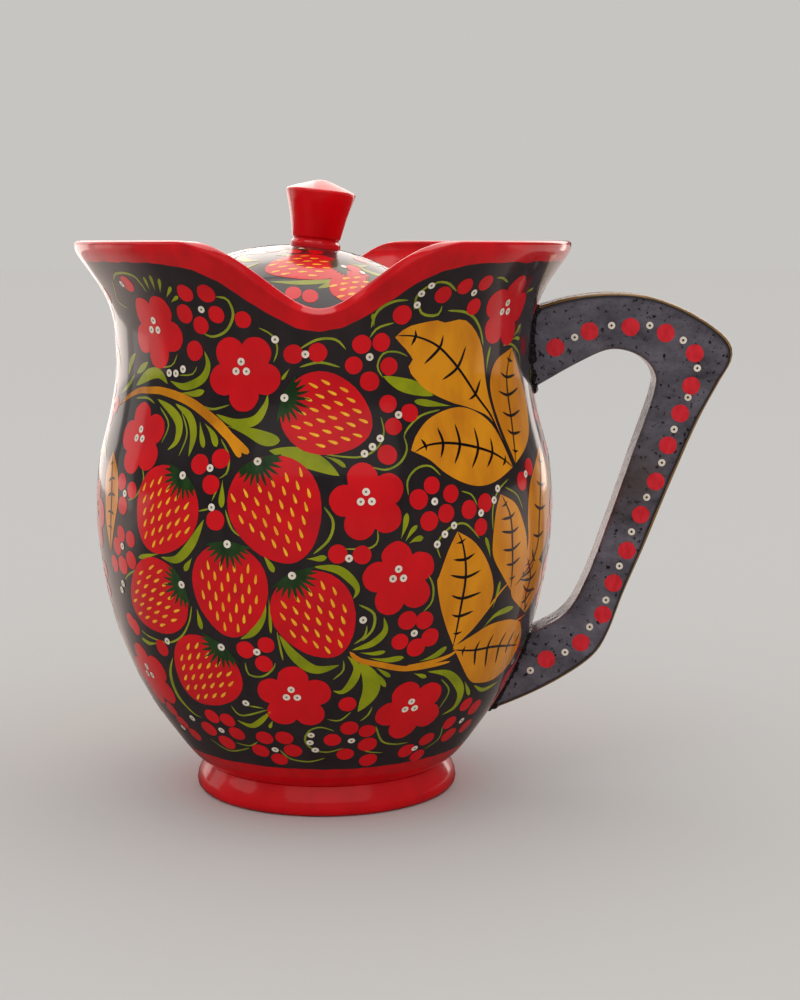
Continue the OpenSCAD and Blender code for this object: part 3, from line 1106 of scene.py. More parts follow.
# The petals sit a little low and to the right of the white dots in their middle.
blossoms = [(angle + 0.6, height - 1.2, turn_by, BLOSSOM_R, BLOSSOM_R) for angle, height, turn_by in BLOSSOMS]
dabs("blossoms", petals, blossoms, LAYER["dab"], red_paint, "red_lacquer", hand=0.8)

# %% Berries
BERRIES = [(-32.5, 174), (-26.5, 174), (-34.5, 167.5), (-25, 167.5), (-30, 164), (-32.5, 156), (-18, 166),
           (-52, 176.5), (21.5, 167.5), (31.5, 173.5), (37, 176), (43, 177), (42, 169.5), (-58, 65.5),
           (-56, 64), (-5.5, 155.5), (-28.5, 121), (-23, 123), (-25, 115), (-23.5, 104), (-55.5, 112.5),
           (-50.5, 110.5), (-54.5, 105), (-55.5, 95.5), (-51, 94.5), (-58, 91), (-61, 84.5), (-56, 85),
           (-51.5, 87.5), (0.5, 156), (11.5, 158.5), (16.5, 159), (9.5, 152), (18.5, 151.5), (13.5, 147),
           (18, 140), (23.5, 137), (19, 133), (17, 124.5), (27.5, 114.5), (32.5, 111.5), (24, 110.5),
           (31, 105.5), (26.5, 103.5), (37.5, 106), (42.5, 107.5), (41, 100), (5, 94.5), (10.5, 94),
           (57.5, 112.5), (62, 116.5), (-18, 62.5), (-12.5, 64.5), (-13.5, 58), (-34, 36.5), (-28.5, 36),
           (-38, 31), (-27, 31), (-33, 26.5), (-17.5, 30.5), (-11, 31), (-20.5, 25), (-9, 26), (-14.5, 22),
           (-45, 59), (4, 30.5), (9, 35), (14.5, 33.5), (15.5, 28), (8.5, 24.5), (17, 21.5), (8, 44),
           (22, 72), (26.5, 71.5), (20.5, 65), (25, 62.5), (28.5, 65.5), (31, 23.5), (37.5, 27),
           (37, 20.5), (44.5, 32), (48, 26.5), (56, 28), (48.5, 38), (54.5, 35.5), (-54, 35), (-52, 30.5),
           (-48.5, 26.5)]
FAR_BERRIES = [(-72, 172), (-78, 175), (-75, 166), (-96, 172), (-101, 168), (-95, 165), (-76, 140),
               (-70, 136), (-74, 131), (-99, 137), (-103, 132), (-97, 130), (-72, 80), (-77, 77),
               (-73, 73), (-101, 100), (-104, 95), (-99, 94), (-72, 32), (-78, 30), (-75, 25), (-92, 33),
               (-97, 29), (-89, 27), (80, 120), (86, 123), (92, 119), (80, 70), (87, 66), (93, 72),
               (97, 110), (101, 104)]
chance = np.random.default_rng(7)
BERRY_R = (2.75, 3.25)
berry_sizes = [float(chance.uniform(*BERRY_R)) for _ in BERRIES + FAR_BERRIES]
dabs("berries", disc, [(*b, 0, r, r) for b, r in zip(BERRIES + FAR_BERRIES, berry_sizes)], LAYER["dab"],
     red_paint, "red_lacquer")

# %% White dots
DOTS = [(-29, 169), (-54.5, 176.5), (25, 170.5), (25.5, 174), (27.5, 176.5), (40.5, 174), (-41.5, 148.5),
        (-39, 148.5), (-36.5, 150), (-10, 160), (-25.5, 120), (-24.5, 108), (-53.5, 109), (-55, 91.5),
        (-2.5, 155.5), (13.5, 154.5), (20.5, 136.5), (28, 109.5), (41, 104.5), (7.5, 93), (59.5, 114.5),
        (15.5, 129.5), (13.5, 127), (11.5, 125), (33, 101.5), (30.5, 99), (28.5, 96), (47, 111.5),
        (45.5, 108), (-57.5, 78.5), (-59, 76), (-42, 62), (-15, 62), (-32.5, 31.5), (-15, 26), (-43.5, 34),
        (-20.5, 43.5), (-54, 28), (11, 73), (24, 67.5), (10, 30), (34, 24), (50.5, 31.5), (-2.5, 32.5),
        (-3, 29.5), (-1.5, 26.5), (-75, 171), (-97, 168.5), (-73, 135.5), (-99.5, 133), (-74, 76.5),
        (-101, 96.5), (-75, 29), (-92.5, 29.5), (86, 119.5), (87, 69.5)]
CROWN, DOT_R, DOT_MIDDLE_R = 2.0, 1.2, 0.38
crowns = [moved(a, z, CROWN * math.cos(math.radians(t)), CROWN * math.sin(math.radians(t)))
          for a, z, turn_by in BLOSSOMS for t in (90, 210, 330)]
white_dots = [(a, z, 0, DOT_R, DOT_R) for a, z in DOTS + crowns] + fruit_caps
dabs("white_dots", disc, white_dots, LAYER["white"], white_paint, "white_paint", hand=0.2)
dabs("dot_middles", dash, [(a, z, 0, DOT_MIDDLE_R, DOT_MIDDLE_R) for a, z, *_ in white_dots],
     LAYER["middle"], grey_paint, "white_paint", hand=0.0)

# %% [markdown]
# ## Grass and tendrils
# Green strokes fill the gaps between fruits. A comma is pressed in its middle and lifted at both ends;
# a drop starts thin and ends full; a tendril keeps one width and only fades at its tips. The same tree
# paints all three, with different swell and taper.

# %% Commas
# Each stroke: greatest width in mm, then its places.
COMMAS = [
    (2.8, [(-41, 146), (-36, 144.5), (-30.5, 147), (-28.5, 151.5), (-29.5, 156)]),
    (3.8, [(-56.5, 143.5), (-50, 147.5), (-45.5, 148), (-42, 145)]),
    (3.1, [(-45.5, 140), (-40, 137), (-36.5, 133), (-36.5, 127.5), (-39, 124.5)]),
    (2.8, [(-38.5, 139), (-33.5, 135.5), (-31.5, 130), (-32, 123)]),
    (3.1, [(-25.5, 136.5), (-20, 134), (-15, 135), (-12.5, 139.5), (-12, 143)]),
    (5.7, [(-11, 126), (-4, 124.5), (1, 122), (5.5, 118.5)]),
    (4.6, [(17, 148.5), (21.5, 146), (25.5, 144.5), (30.5, 142)]),
    (2.8, [(-0.5, 90.5), (5, 89.5), (8.5, 85.5), (9.5, 82.5), (8.5, 80)]),
    (2.3, [(8.5, 63), (13.5, 65), (16.5, 69), (16, 73.5)]),
    (2.8, [(7.5, 61), (10, 57), (9, 52), (6.5, 48.5), (4, 49)]),
    (5.7, [(10.5, 59), (13.5, 53.5), (14, 48), (11, 41)]),
    (3.5, [(-9, 68), (-5.5, 61), (-0.5, 56.5), (5.5, 58)]),
    (3.2, [(29.5, 53.5), (36.5, 51.5), (43, 44.5), (43.5, 38.5), (39, 36)]),
    (1.6, [(48.5, 45), (54.5, 42), (63, 43)]),
    (1.5, [(-41.5, 56.5), (-45, 49.5), (-45.5, 42), (-42, 36.5), (-38.5, 35)]),
    (2.8, [(-12, 81), (-13, 74), (-15.5, 68.5), (-19, 66)]),
    (3.2, [(-39.5, 90.5), (-34.5, 90.5), (-30, 96), (-26.5, 104)]),
    (2.1, [(-25, 36.5), (-20, 35), (-13.5, 41)]), (2.6, [(-62, 146.5), (-60.5, 150.5), (-57, 154)]),
    (2.4, [(-56.5, 147.5), (-52.5, 150), (-50.5, 151.5)]),
    (1.6, [(-66.5, 140), (-60.5, 144), (-57.5, 147.5)]),
    (3, [(-68, 118), (-73, 121), (-79, 120), (-83, 115)]),
    (3.2, [(-97, 112), (-93, 108), (-91, 101), (-93, 95)]),
    (3, [(-70, 62), (-74, 66), (-80, 66), (-84, 63)]),
    (2.8, [(-94, 62), (-99, 60), (-102, 54), (-101, 48)]), (2.8, [(-70, 148), (-73, 153), (-79, 155)]),
    (3, [(-93, 148), (-98, 147), (-102, 143)]), (2.8, [(-70, 45), (-75, 42), (-78, 37)]),
    (2.8, [(78, 88), (81, 84), (87, 83), (92, 86)]), (2.8, [(80, 112), (85, 115), (91, 114)]),
]
strokes("commas", COMMAS, LAYER["grass"], green_paint, "green_paint", taper=0.8, step=1.0)

# %% Drops
DROPS = [
    (2.2, [(-37, 142.5), (-32.5, 142.5), (-29.5, 143.5)]), (1.9, [(-30, 134), (-29, 129.5), (-28, 126)]),
    (2.3, [(-28.5, 133.5), (-26, 130.5), (-24.5, 126.5)]),
    (4.4, [(-22, 133), (-16.5, 131.5), (-12, 129.5), (-8.5, 129)]), (1, [(-6.5, 151), (-8.5, 147.5)]),
    (1.4, [(2, 124.5), (5, 123), (7, 121)]), (2.2, [(35.5, 138.5), (30, 139.5), (25, 140.5)]),
    (1.9, [(19.5, 98.5), (20.5, 102.5), (21, 106.5)]), (1.5, [(20.5, 97.5), (22, 100.5), (23.5, 102.5)]),
    (1.9, [(21.5, 97), (23, 98), (25, 98.5)]), (1.9, [(-2, 93), (0.5, 93), (2.5, 93.5)]),
    (1.4, [(44.5, 89.5), (43.5, 93.5), (42.5, 96.5)]), (1.1, [(49, 148.5), (49.5, 152.5), (50.5, 156.5)]),
    (1.5, [(47.5, 72), (48.5, 76.5), (49, 81)]), (2.2, [(45, 65.5), (49.5, 69.5), (57, 70.5)]),
    (2.2, [(26.5, 57.5), (31, 59), (34, 61.5)]), (2, [(13, 60), (17.5, 59), (22, 59.5)]),
    (1.5, [(10.5, 62), (14, 61.5), (17, 62)]), (1.7, [(13.5, 56), (16, 53), (18, 49.5)]),
    (1.5, [(15, 56.5), (19, 53)]), (1.5, [(25.5, 53.5), (29.5, 51.5)]), (1.5, [(43.5, 47.5), (48, 41.5)]),
    (1.9, [(-30, 75), (-29.5, 68)]), (1, [(-11, 80.5), (-11, 68.5)]),
    (1.6, [(-46, 60.5), (-50.5, 59.5), (-54, 60.5)]), (2, [(-30, 91.5), (-32.5, 87)]),
    (1.6, [(-40, 91.5), (-48, 89)]), (2.1, [(-22, 116.5), (-22, 108)]),
    (1.9, [(-12, 94), (-10.5, 91), (-9.5, 88.5)]), (1.2, [(-13.5, 37.5), (-15, 34.5)]),
    (1.3, [(14.5, 164), (14, 168)]), (1.4, [(61.5, 159), (64, 160.5), (66, 163)]),
    (1.3, [(61, 158), (63.5, 158.5), (66.5, 158)]), (1.3, [(63, 172.5), (64, 174), (66.5, 174.5)]),
    (2, [(-80, 142), (-82, 136), (-83, 130)]), (2, [(-88, 142), (-88, 135), (-86, 129)]),
    (2, [(-96, 120), (-92, 124), (-88, 126)]), (2, [(-80, 84), (-77, 88), (-76, 92)]),
    (2, [(-92, 86), (-95, 90), (-97, 94)]), (1.8, [(-82, 40), (-84, 36), (-84, 31)]),
    (1.8, [(80, 60), (84, 58), (89, 57)]), (1.3, [(-44, 174.5), (-43.5, 179)]),
    (1.3, [(-42, 174.5), (-41, 179.5)]), (1.3, [(-40.5, 174), (-38.5, 178.5)]),
    (1.3, [(-39, 172.5), (-36, 176)]), (1.3, [(-38, 171), (-35, 173)]),
]
strokes("drops", DROPS, LAYER["grass"], green_paint, "green_paint", swell=2.2, taper=0.55, step=0.6)

# %% Tendrils
TENDRILS = [
    (0.7, [(-30.5, 139), (-26.5, 138), (-22, 139.5)]), (0.6, [(-44, 137.5), (-40, 132.5), (-41.5, 126.5)]),
    (0.6, [(-36, 136.5), (-33.5, 130), (-35, 123)]),
    (0.9, [(-24, 173), (-21.5, 172.5), (-20.5, 170), (-20.5, 167), (-22, 163.5), (-24, 161.5), (-27, 160.5),
     (-29.5, 161.5)]),
    (1.0, [(-45.5, 174), (-46, 176.5), (-47, 179), (-50.5, 180), (-55, 179.5), (-58, 177.5)]),
    (0.6, [(-14, 163.5), (-11.5, 162), (-10, 160), (-9.5, 156.5), (-10.5, 153)]),
    (0.8, [(-4, 157), (0.5, 160), (5, 160), (7.5, 157)]), (0.8, [(-4, 151.5), (1, 153), (6, 151.5)]),
    (0.6, [(16, 136), (16.5, 131), (14.5, 126.5), (10, 124), (2, 125)]),
    (0.7, [(32, 137.5), (26.5, 136), (22.5, 132), (21.5, 129.5)]),
    (0.7, [(21.5, 130), (22, 126), (20, 122), (16.5, 120), (13, 121)]),
    (0.6, [(17, 148), (15.5, 151.5), (17, 155.5), (20.5, 156), (23.5, 154.5)]),
    (0.7, [(13.5, 160.5), (15.5, 163.5), (19.5, 165)]),
    (0.7, [(21.5, 112), (21.5, 116.5), (24, 120), (27.5, 120.5), (30, 117.5)]),
    (0.6, [(35.5, 112), (38.5, 110.5), (40, 107)]),
    (0.7, [(29.5, 91.5), (28.5, 96), (30.5, 99.5), (33, 101.5), (36.5, 101.5), (40.5, 96.5)]),
    (0.9, [(2, 109), (4, 104.5), (3, 99), (-0.5, 94.5)]),
    (0.6, [(14, 101.5), (14, 98), (12, 96), (6.5, 96)]),
    (0.7, [(26.5, 86.5), (28, 82.5), (28, 77.5), (26, 74.5)]),
    (0.9, [(34, 168.5), (39, 168), (43, 166), (46, 162), (47.5, 157)]),
    (0.6, [(50, 111.5), (54.5, 108.5), (57, 103.5)]),
    (0.6, [(45, 98.5), (45, 105), (47, 110.5), (51.5, 114)]), (0.7, [(9, 65), (11.5, 67.5), (12, 71)]),
    (0.9, [(10, 78), (13.5, 75), (13.5, 70), (11, 66)]), (0.6, [(6.5, 59.5), (6.5, 56), (4, 53)]),
    (0.6, [(34.5, 50), (38.5, 45), (37, 39)]), (0.6, [(2.5, 38.5), (6, 38), (9, 41)]),
    (0.6, [(12, 37.5), (14, 39.5), (15, 42.5)]),
    (0.7, [(4.5, 34), (0.5, 35.5), (-3, 34), (-4.5, 30), (-2, 26.5), (2.5, 25.5), (7.5, 27)]),
    (0.7, [(17, 35), (20, 29), (25, 27), (30, 27)]), (0.6, [(12.5, 27.5), (16, 25), (21.5, 24)]),
    (0.7, [(-13.5, 26), (-10.5, 22.5), (-4, 21.5), (1.5, 23)]), (0.6, [(42, 31), (43.5, 26), (39, 22.5)]),
    (0.7, [(-9.5, 69), (-8.5, 59.5)]),
    (0.7, [(-18.5, 58), (-18, 54), (-14.5, 53.5), (-11.5, 56), (-10.5, 58.5)]),
    (0.7, [(-31.5, 75.5), (-33, 70), (-36.5, 64.5), (-42, 61.5), (-49.5, 62), (-53, 63.5)]),
    (0.7, [(-56, 80), (-54, 82), (-49, 85)]), (0.7, [(-23.5, 129), (-21, 124), (-21, 119), (-23, 117)]),
    (0.6, [(-23, 114.5), (-24.5, 110)]), (0.6, [(-28, 106.5), (-25, 107.5)]),
    (0.7, [(-21, 107.5), (-19.5, 102), (-17.5, 99.5)]),
    (0.7, [(-47, 118), (-46, 114), (-48.5, 109), (-52, 107)]),
    (0.7, [(-25.5, 42), (-23, 38.5), (-14.5, 41.5)]), (0.6, [(-20, 42.5), (-15.5, 42)]),
    (0.6, [(-29, 27), (-24, 26.5), (-20.5, 28.5)]), (0.6, [(-40.5, 26.5), (-34, 23), (-24.5, 25.5)]),
    (0.5, [(-45.5, 150), (-40.5, 151), (-38.5, 154.5)]), (0.5, [(-38, 148), (-33.5, 148.5), (-32, 151)]),
    (0.7, [(-55.5, 139.5), (-50, 140), (-46.5, 138.5)]),
    (0.9, [(25.5, 170.5), (26.5, 168), (29, 167), (31.5, 167.5), (32, 170)]),
    (0.8, [(24.5, 169), (24.5, 173), (26.5, 176), (29.5, 177.5)]),
    (0.9, [(13.8, 163.7), (14.8, 168), (16.8, 170.4), (19.5, 171.8), (22.5, 172)]),
    (0.9, [(28, 176.5), (29, 177.5), (32, 177), (35, 174.5)]), (0.8, [(46, 178.5), (48, 178.5), (51, 177)]),
    (0.8, [(56.5, 156.5), (61.5, 156.5), (66.5, 153), (67.5, 149)]),
    (0.8, [(-59, 177.5), (-63, 171), (-58, 168.5)]),
    (0.7, [(-76, 162), (-80, 166), (-84, 168), (-90, 168), (-95, 166)]),
    (0.7, [(-78, 128), (-76, 124), (-72, 123)]), (0.7, [(-74, 84), (-78, 82), (-80, 78)]),
    (0.7, [(-97, 126), (-95, 121), (-98, 116)]), (0.7, [(-80, 24), (-86, 26), (-92, 24)]),
    (0.7, [(84, 112), (86, 108), (84, 104)]), (0.7, [(88, 78), (92, 76), (94, 71)]),
]
strokes("tendrils", TENDRILS, LAYER["tendril"], fine_green, "green_paint", taper=0.25)

# %% [markdown]
# ## Gold leaves
# Each leaf is a patch of ochre between two brushed edges, with a black rib and short side veins that
# cross it. A leaf is drawn as a surface stretched between its edges, so that the rib and the veins can
# be placed by shares of its length and width. Gold branches tie the leaves and fruits together.

# %% Leaves
# Each leaf: one edge, the other edge and the rib, all from the stalk to the tip.
LEAVES = [
    ([(54, 119), (51, 130.5), (49, 141), (47, 156.5), (41.5, 164.5), (36.5, 165.5), (34.5, 164),
      (32.5, 165.5), (28, 165), (23, 163.5), (20, 160.5)],
     [(54, 119), (49.5, 132.5), (41.5, 137.5), (36, 139.5), (29, 143.5), (25.5, 147.5), (23.5, 151),
      (25.5, 152), (23.5, 156), (21.5, 158.5), (20, 160.5)],
     [(54, 119), (48.5, 135.5), (44.5, 141), (39.5, 149), (32.5, 157), (26, 160.5), (20.5, 161)]),
    ([(54, 117.5), (50, 129.5), (44.5, 135.5), (37.5, 138), (29.5, 135.5), (25, 130.5), (23, 125.5)],
     [(54, 117.5), (47, 114), (41.5, 113), (36.5, 114.5), (31.5, 118), (27.5, 122.5), (23, 125.5)],
     [(54, 117.5), (48.5, 122), (42, 125), (34.5, 127), (28, 127), (24, 125)]),
    ([(55.5, 118.5), (52.5, 129.5), (50.5, 139), (50.5, 146), (53.5, 152), (61.5, 155.5)],
     [(55.5, 118.5), (63, 123.5), (67.5, 129), (69.5, 139), (66, 148), (61.5, 155.5)],
     [(55.5, 118.5), (57.5, 130), (58, 138.5), (58.5, 147), (61, 155)]),
    ([(36, 61.5), (33, 68), (30.5, 75.5), (29, 83.5), (29.5, 86), (31.5, 93.5), (34, 99.5)],
     [(36, 61.5), (39.5, 64), (43.5, 68.5), (46.5, 74.5), (46.5, 80.5), (43.5, 88.5), (39, 95.5),
      (34, 99.5)],
     [(36, 61.5), (36.5, 74.5), (37, 83.5), (36.5, 90), (35.5, 95.5), (34, 99.5)]),
    ([(54, 77), (50.5, 81.5), (46, 88.5), (45, 94), (46, 104), (48, 109.5)],
     [(54, 77), (59, 82.5), (59.5, 91.5), (57, 99.5), (53.5, 106), (48, 109.5)],
     [(54, 77.5), (53.5, 84), (52.5, 93), (51.5, 102), (48.5, 109)]),
    ([(56, 78), (60, 90.5), (59.5, 100.5), (62, 112), (72, 122.5)],
     [(56, 78), (64.5, 81.5), (73, 89), (76, 103.5), (76, 114), (72, 122.5)],
     [(56, 78), (65.5, 87.5), (66.5, 99), (68.5, 111), (71.5, 122)]),
    ([(36, 61), (42, 64), (48, 66.5), (56, 66.5), (63.5, 64)],
     [(36, 61), (41, 53), (45.5, 47.5), (50, 45.5), (58.5, 45), (66.5, 49), (68, 57), (63.5, 64)],
     [(36.5, 60), (43.5, 58.5), (52, 58), (67, 55)]),
    ([(65.5, 66.5), (56.5, 73), (54, 77.5), (53.5, 83.5), (60, 87)],
     [(65.5, 66.5), (73, 72.5), (74, 79), (69, 84), (60, 87)],
     [(65.5, 66.5), (63, 73), (64, 79), (60.5, 86.5)]),
    ([(-63.5, 121.5), (-66.5, 114), (-65.5, 105.5), (-64.5, 96.5), (-62.5, 88)],
     [(-63.5, 121.5), (-58.5, 115.5), (-57, 107), (-58.5, 99.5), (-62.5, 88)],
     [(-63.5, 121), (-61.5, 112), (-61, 103), (-62.5, 88.5)])]
LEAF_ROWS, LEAF_COLUMNS = 26, 9
WALL_PER_DEGREE = 1.3


def along(line, steps):
    """The same line as evenly spaced points."""
    fine = np.array(smooth(line, 12))
    gaps = np.hypot(np.diff(fine[:, 0]) * WALL_PER_DEGREE, np.diff(fine[:, 1]))
    length = np.concatenate([[0], np.cumsum(gaps)])
    wanted = np.linspace(0, length[-1], steps)
    return np.stack([np.interp(wanted, length, fine[:, k]) for k in (0, 1)], axis=1)


def leaf_patches(leaves, layer):
    """One flat mesh of all the leaves, each a grid between its two edges."""
    points, faces, places = [], [], []
    for first, second, _ in leaves:
        one, other = along(first, LEAF_ROWS), along(second, LEAF_ROWS)
        middle = (one[LEAF_ROWS // 2] + other[LEAF_ROWS // 2]) / 2
        start = len(points)
        for row in range(LEAF_ROWS):
            for column in range(LEAF_COLUMNS):
                a, z = one[row] + (other[row] - one[row]) * column / (LEAF_COLUMNS - 1)
                points.append((math.radians(a - middle[0]) * side_radius(z) * MM,
                               (z - middle[1]) * steepness(middle[1]) * MM, 0))
                places.append((*spot(*middle), layer * MM))
        for row in range(LEAF_ROWS - 1):
            for column in range(LEAF_COLUMNS - 1):
                k = start + row * LEAF_COLUMNS + column
                faces.append((k, k + 1, k + 1 + LEAF_COLUMNS, k + LEAF_COLUMNS))
    source = plain_mesh("leaf_patches", points, faces)
    store(source, "place", "FLOAT_VECTOR", places)
    return source


painted(side_shapes, leaf_patches(LEAVES, LAYER["dab"]), "gold_leaves", "side", 2, gold_paint, "gold_paint")


# %% Veins
# A rib is read at RIB_POINTS places. The veins start at FIRST_VEIN and spread over VEIN_RUN of them.
VEINS, RIB_POINTS, RIB_STEP, FIRST_VEIN, VEIN_RUN = 6, 40, 5, 4, 31
VEIN_REACH, VEIN_SLANT = 0.56, 0.14


def veins(leaves):
    """The ribs, and short strokes that cross each rib squarely."""
    lines = []
    for first, second, rib in leaves:
        one, other, middle = (along(line, RIB_POINTS) for line in (first, second, rib))
        lines.append((0.9, [tuple(p) for p in middle[::RIB_STEP]] + [tuple(middle[-1])]))
        for k in range(VEINS):
            at = FIRST_VEIN + round(VEIN_RUN * k / (VEINS - 1))
            forward = (middle[at + 1] - middle[at - 1]) * (WALL_PER_DEGREE, 1)
            forward = forward / np.linalg.norm(forward)
            sideways = np.array((-forward[1] / WALL_PER_DEGREE, forward[0]))
            ends = []
            for edge in (one, other):
                gap = (edge[at] - middle[at]) * (WALL_PER_DEGREE, 1)
                reach = float(np.dot(gap, (-forward[1], forward[0])))
                ends.append(middle[at] + sideways * reach * VEIN_REACH + forward * abs(reach) * VEIN_SLANT)
            lines.append((1.0, [tuple(ends[0]), tuple(middle[at]), tuple(ends[1])]))
    return lines


strokes("leaf_veins", veins(LEAVES), LAYER["vein"], black_paint, "black_lacquer", taper=0.4)

# %% Branches
BOUGH = [(-67.5, 136), (-56, 141.5), (-49.5, 142.5), (-43, 142.5), (-34, 140), (-26.5, 135), (-21.5, 130)]
strokes("bough", [(3.0, BOUGH + [(-18.0, 123.8)]), (3.0, BOUGH + [(-16.0, 125.0)])], LAYER["branch"],
        gold_paint, "gold_paint", swell=2.4, taper=0.2, step=1.0)
BRANCHES = [(2.0, [(8, 62.5), (10.5, 59.5), (16, 57.5), (22.5, 55.5), (29.5, 55.5), (36, 56)]),
            (1.6, [(22.5, 56), (28.5, 56.5), (35, 58), (38, 60)]),
            (1.0, [(36, 61), (42.5, 68), (49.5, 77), (54, 80.5)]),
            (1.0, [(36, 60), (45, 62), (56, 64), (66, 66)])]
strokes("branches", BRANCHES, LAYER["branch"], gold_paint, "gold_paint", swell=0.7, taper=0.35)

# %% [markdown]
# ## Painting on the lid
# The dome carries a wreath of the same fruits and berries. It is drawn once, in millimetres seen from
# above, and the tree repeats it four times round the knob. The lid is a body of its own, so all of this
# rides on the lid and lifts away with it.

# %% Lid wreath
WREATH = 4
LID_BERRY_R, LID_DOT_R, LID_SEPAL = 2.6, 1.0, (1.6, 5.0)
LID_FRUITS = [((11.5, -26), (-14, -33.5), 18), ((24.5, -30), (8.5, -42.5), 17)]


def plan_move(x, y, right, up):
    """Moves a place on the dome's plan."""
    return x + right, y + up


lid_eggs, lid_seeds, lid_sepals, lid_wings, lid_caps = fruit_marks(LID_FRUITS, plan_move)
dabs("lid_strawberries", egg_shape, lid_eggs, LAYER["fruit"], fruit_paint, "red_lacquer", "dome", WREATH)
dabs("lid_seeds", drop, lid_seeds, LAYER["seed"], seed_paint, "gold_paint", "dome", WREATH)
strokes("lid_caps", [(2, line) for _, line in lid_wings], LAYER["wing"], dark_green, "dark_green_paint",
        taper=0.5, where="dome", copies=WREATH)
dabs("lid_sepals", sepal, [(x, y, t, *LID_SEPAL) for x, y, t, *_ in lid_sepals], LAYER["vein"], dark_green,
     "dark_green_paint", "dome", WREATH)
LID_BERRIES = [(-3.5, -45), (2, -45.5), (-20, -38), (-24.5, -42), (-18.5, -43.5), (1, -17), (-6, -18),
               (-13, -16), (-25, -14.5), (-28.5, -19)]
dabs("lid_berries", disc, [(x, y, 0, LID_BERRY_R, LID_BERRY_R) for x, y in LID_BERRIES], LAYER["dab"],
     red_paint, "red_lacquer", "dome", WREATH)
LID_DOTS = [(-20.7, -41), (-4, -14), (-26, -17.5)]
lid_white_places = LID_DOTS + [(x, y) for x, y, *_ in lid_caps]
lid_whites = [(x, y, 0, LID_DOT_R, LID_DOT_R) for x, y in lid_white_places]
dabs("lid_white_dots", disc, lid_whites, LAYER["white"], white_paint, "white_paint", "dome", WREATH, hand=0.2)
LID_COMMAS = [(2.2, [(-12, -40), (-3, -40.5), (6, -38), (13, -33)]), (2.0, [(4, -42), (7, -39.5), (10, -36)]),
              (2.4, [(-16, -26), (-21, -24), (-23, -19), (-20, -14)]),
              (1.8, [(-16, -28), (-23, -30), (-27, -27)]),
              (2.2, [(-12, -22), (-5, -23), (1, -21.5), (7, -22)]), (1.6, [(12, -22), (16, -21), (19, -17)]),
              (1.6, [(-28, -36), (-31, -32), (-30, -27)]), (1.4, [(-10, -46), (-14, -44), (-16, -40)])]
strokes("lid_commas", LID_COMMAS, LAYER["grass"], green_paint, "green_paint", where="dome", copies=WREATH)
LID_TENDRILS = [(0.6, [(-17, -20), (-14, -18), (-8, -15), (0, -14)]),
                (0.6, [(-19, -37), (-22, -35), (-26, -37)])]
strokes("lid_tendrils", LID_TENDRILS, LAYER["tendril"], fine_green, "green_paint", taper=0.25, where="dome",
        copies=WREATH)

# %% [markdown]
# ## Handle
# The handle was sawn from a plank and its edges rounded over, and it widens at the shoulder and again
# where it meets the belly. An extruded outline with a bevel would do, but a loft is better: a rounded
# section is carried from one joint to the other between the outer and the inner edge, so that each
# point knows how far it lies from the outer edge, where a gold line runs.

# %% Loft the handle
HANDLE_OUTER = [(70, 167.1), (84.5, 171.2), (98, 172.6), (111, 171.4), (124, 166.6), (134.4, 160),
                (139, 155), (139.4, 149.6), (135, 141.6), (128, 128), (119, 106.5), (110.5, 85),
                (103.6, 68.6), (98.6, 55), (93.4, 46.6), (83, 39), (70, 32.2), (54.8, 26)]
HANDLE_INNER = [(69.5, 139.1), (72, 140.3), (87, 148.8), (98, 153.3), (107.4, 151.3), (113, 145.6),
                (112.8, 138.4), (106.6, 119.6), (99, 97), (91, 74.8), (83.6, 61.8), (71.6, 54.8),
                (67, 53.5)]
STATIONS, ROUND_OVER = 110, 1.7


def evenly(keys, count):
    """Evenly spaced points on a smooth curve."""
    fine = np.array(smooth(keys, 10))
    run_length = np.concatenate([[0], np.cumsum(np.hypot(*np.diff(fine, axis=0).T))])
    wanted = np.linspace(0, run_length[-1], count)
    return np.stack([np.interp(wanted, run_length, fine[:, k]) for k in (0, 1)], axis=1)


def plank_section(width):
    """A rounded section: (distance from the outer edge, sideways) all the way round, in mm."""
    half, r = PLANK_FACE, ROUND_OVER
    corner = [math.radians(a) for a in (0, 18, 36, 54, 72, 90)]
    outer_front = [(r - r * math.cos(a), -(half - r + r * math.sin(a))) for a in corner]
    front = [(r + (width - 2 * r) * t, -half) for t in (0.04, 0.25, 0.5, 0.75, 0.96)]
    inner_front = [(width - s, y) for s, y in reversed(outer_front)]
    face = outer_front + front + inner_front
    edge = [(width, y) for y in (-half + r + 0.3, -3, 0, 3, half - r - 0.3)]
    back = [(s, -y) for s, y in reversed(face)]
    close_up = [(0, -y) for _, y in edge]
    return face + edge + back + close_up


def loft_handle():
    """Carries the section from the upper joint to the lower one."""
    outer_line, inner_line = evenly(HANDLE_OUTER, STATIONS), evenly(HANDLE_INNER, STATIONS)
    points, from_edge, faces = [], [], []
    for o, i in zip(outer_line, inner_line):
        width = float(np.hypot(*(i - o)))
        for s, y in plank_section(width):
            x, z = o + (i - o) * s / width
            points.append((x * MM, y * MM, z * MM))
            from_edge.append(s)
    ring = len(plank_section(20))
    for station in range(STATIONS - 1):
        for k in range(ring):
            a, b = station * ring + k, station * ring + (k + 1) % ring
            faces.append((a, b, b + ring, a + ring))
    faces.append(tuple(range(ring)))
    faces.append(tuple(reversed(range((STATIONS - 1) * ring, STATIONS * ring))))
    piece = plain_mesh("handle_plank", points, faces)
    store(piece, "from_edge", "FLOAT", from_edge)
    work = open_mesh(piece)
    bmesh.ops.recalc_face_normals(work, faces=work.faces)
    write_back(work, piece)
    piece.data.shade_smooth()
    return piece


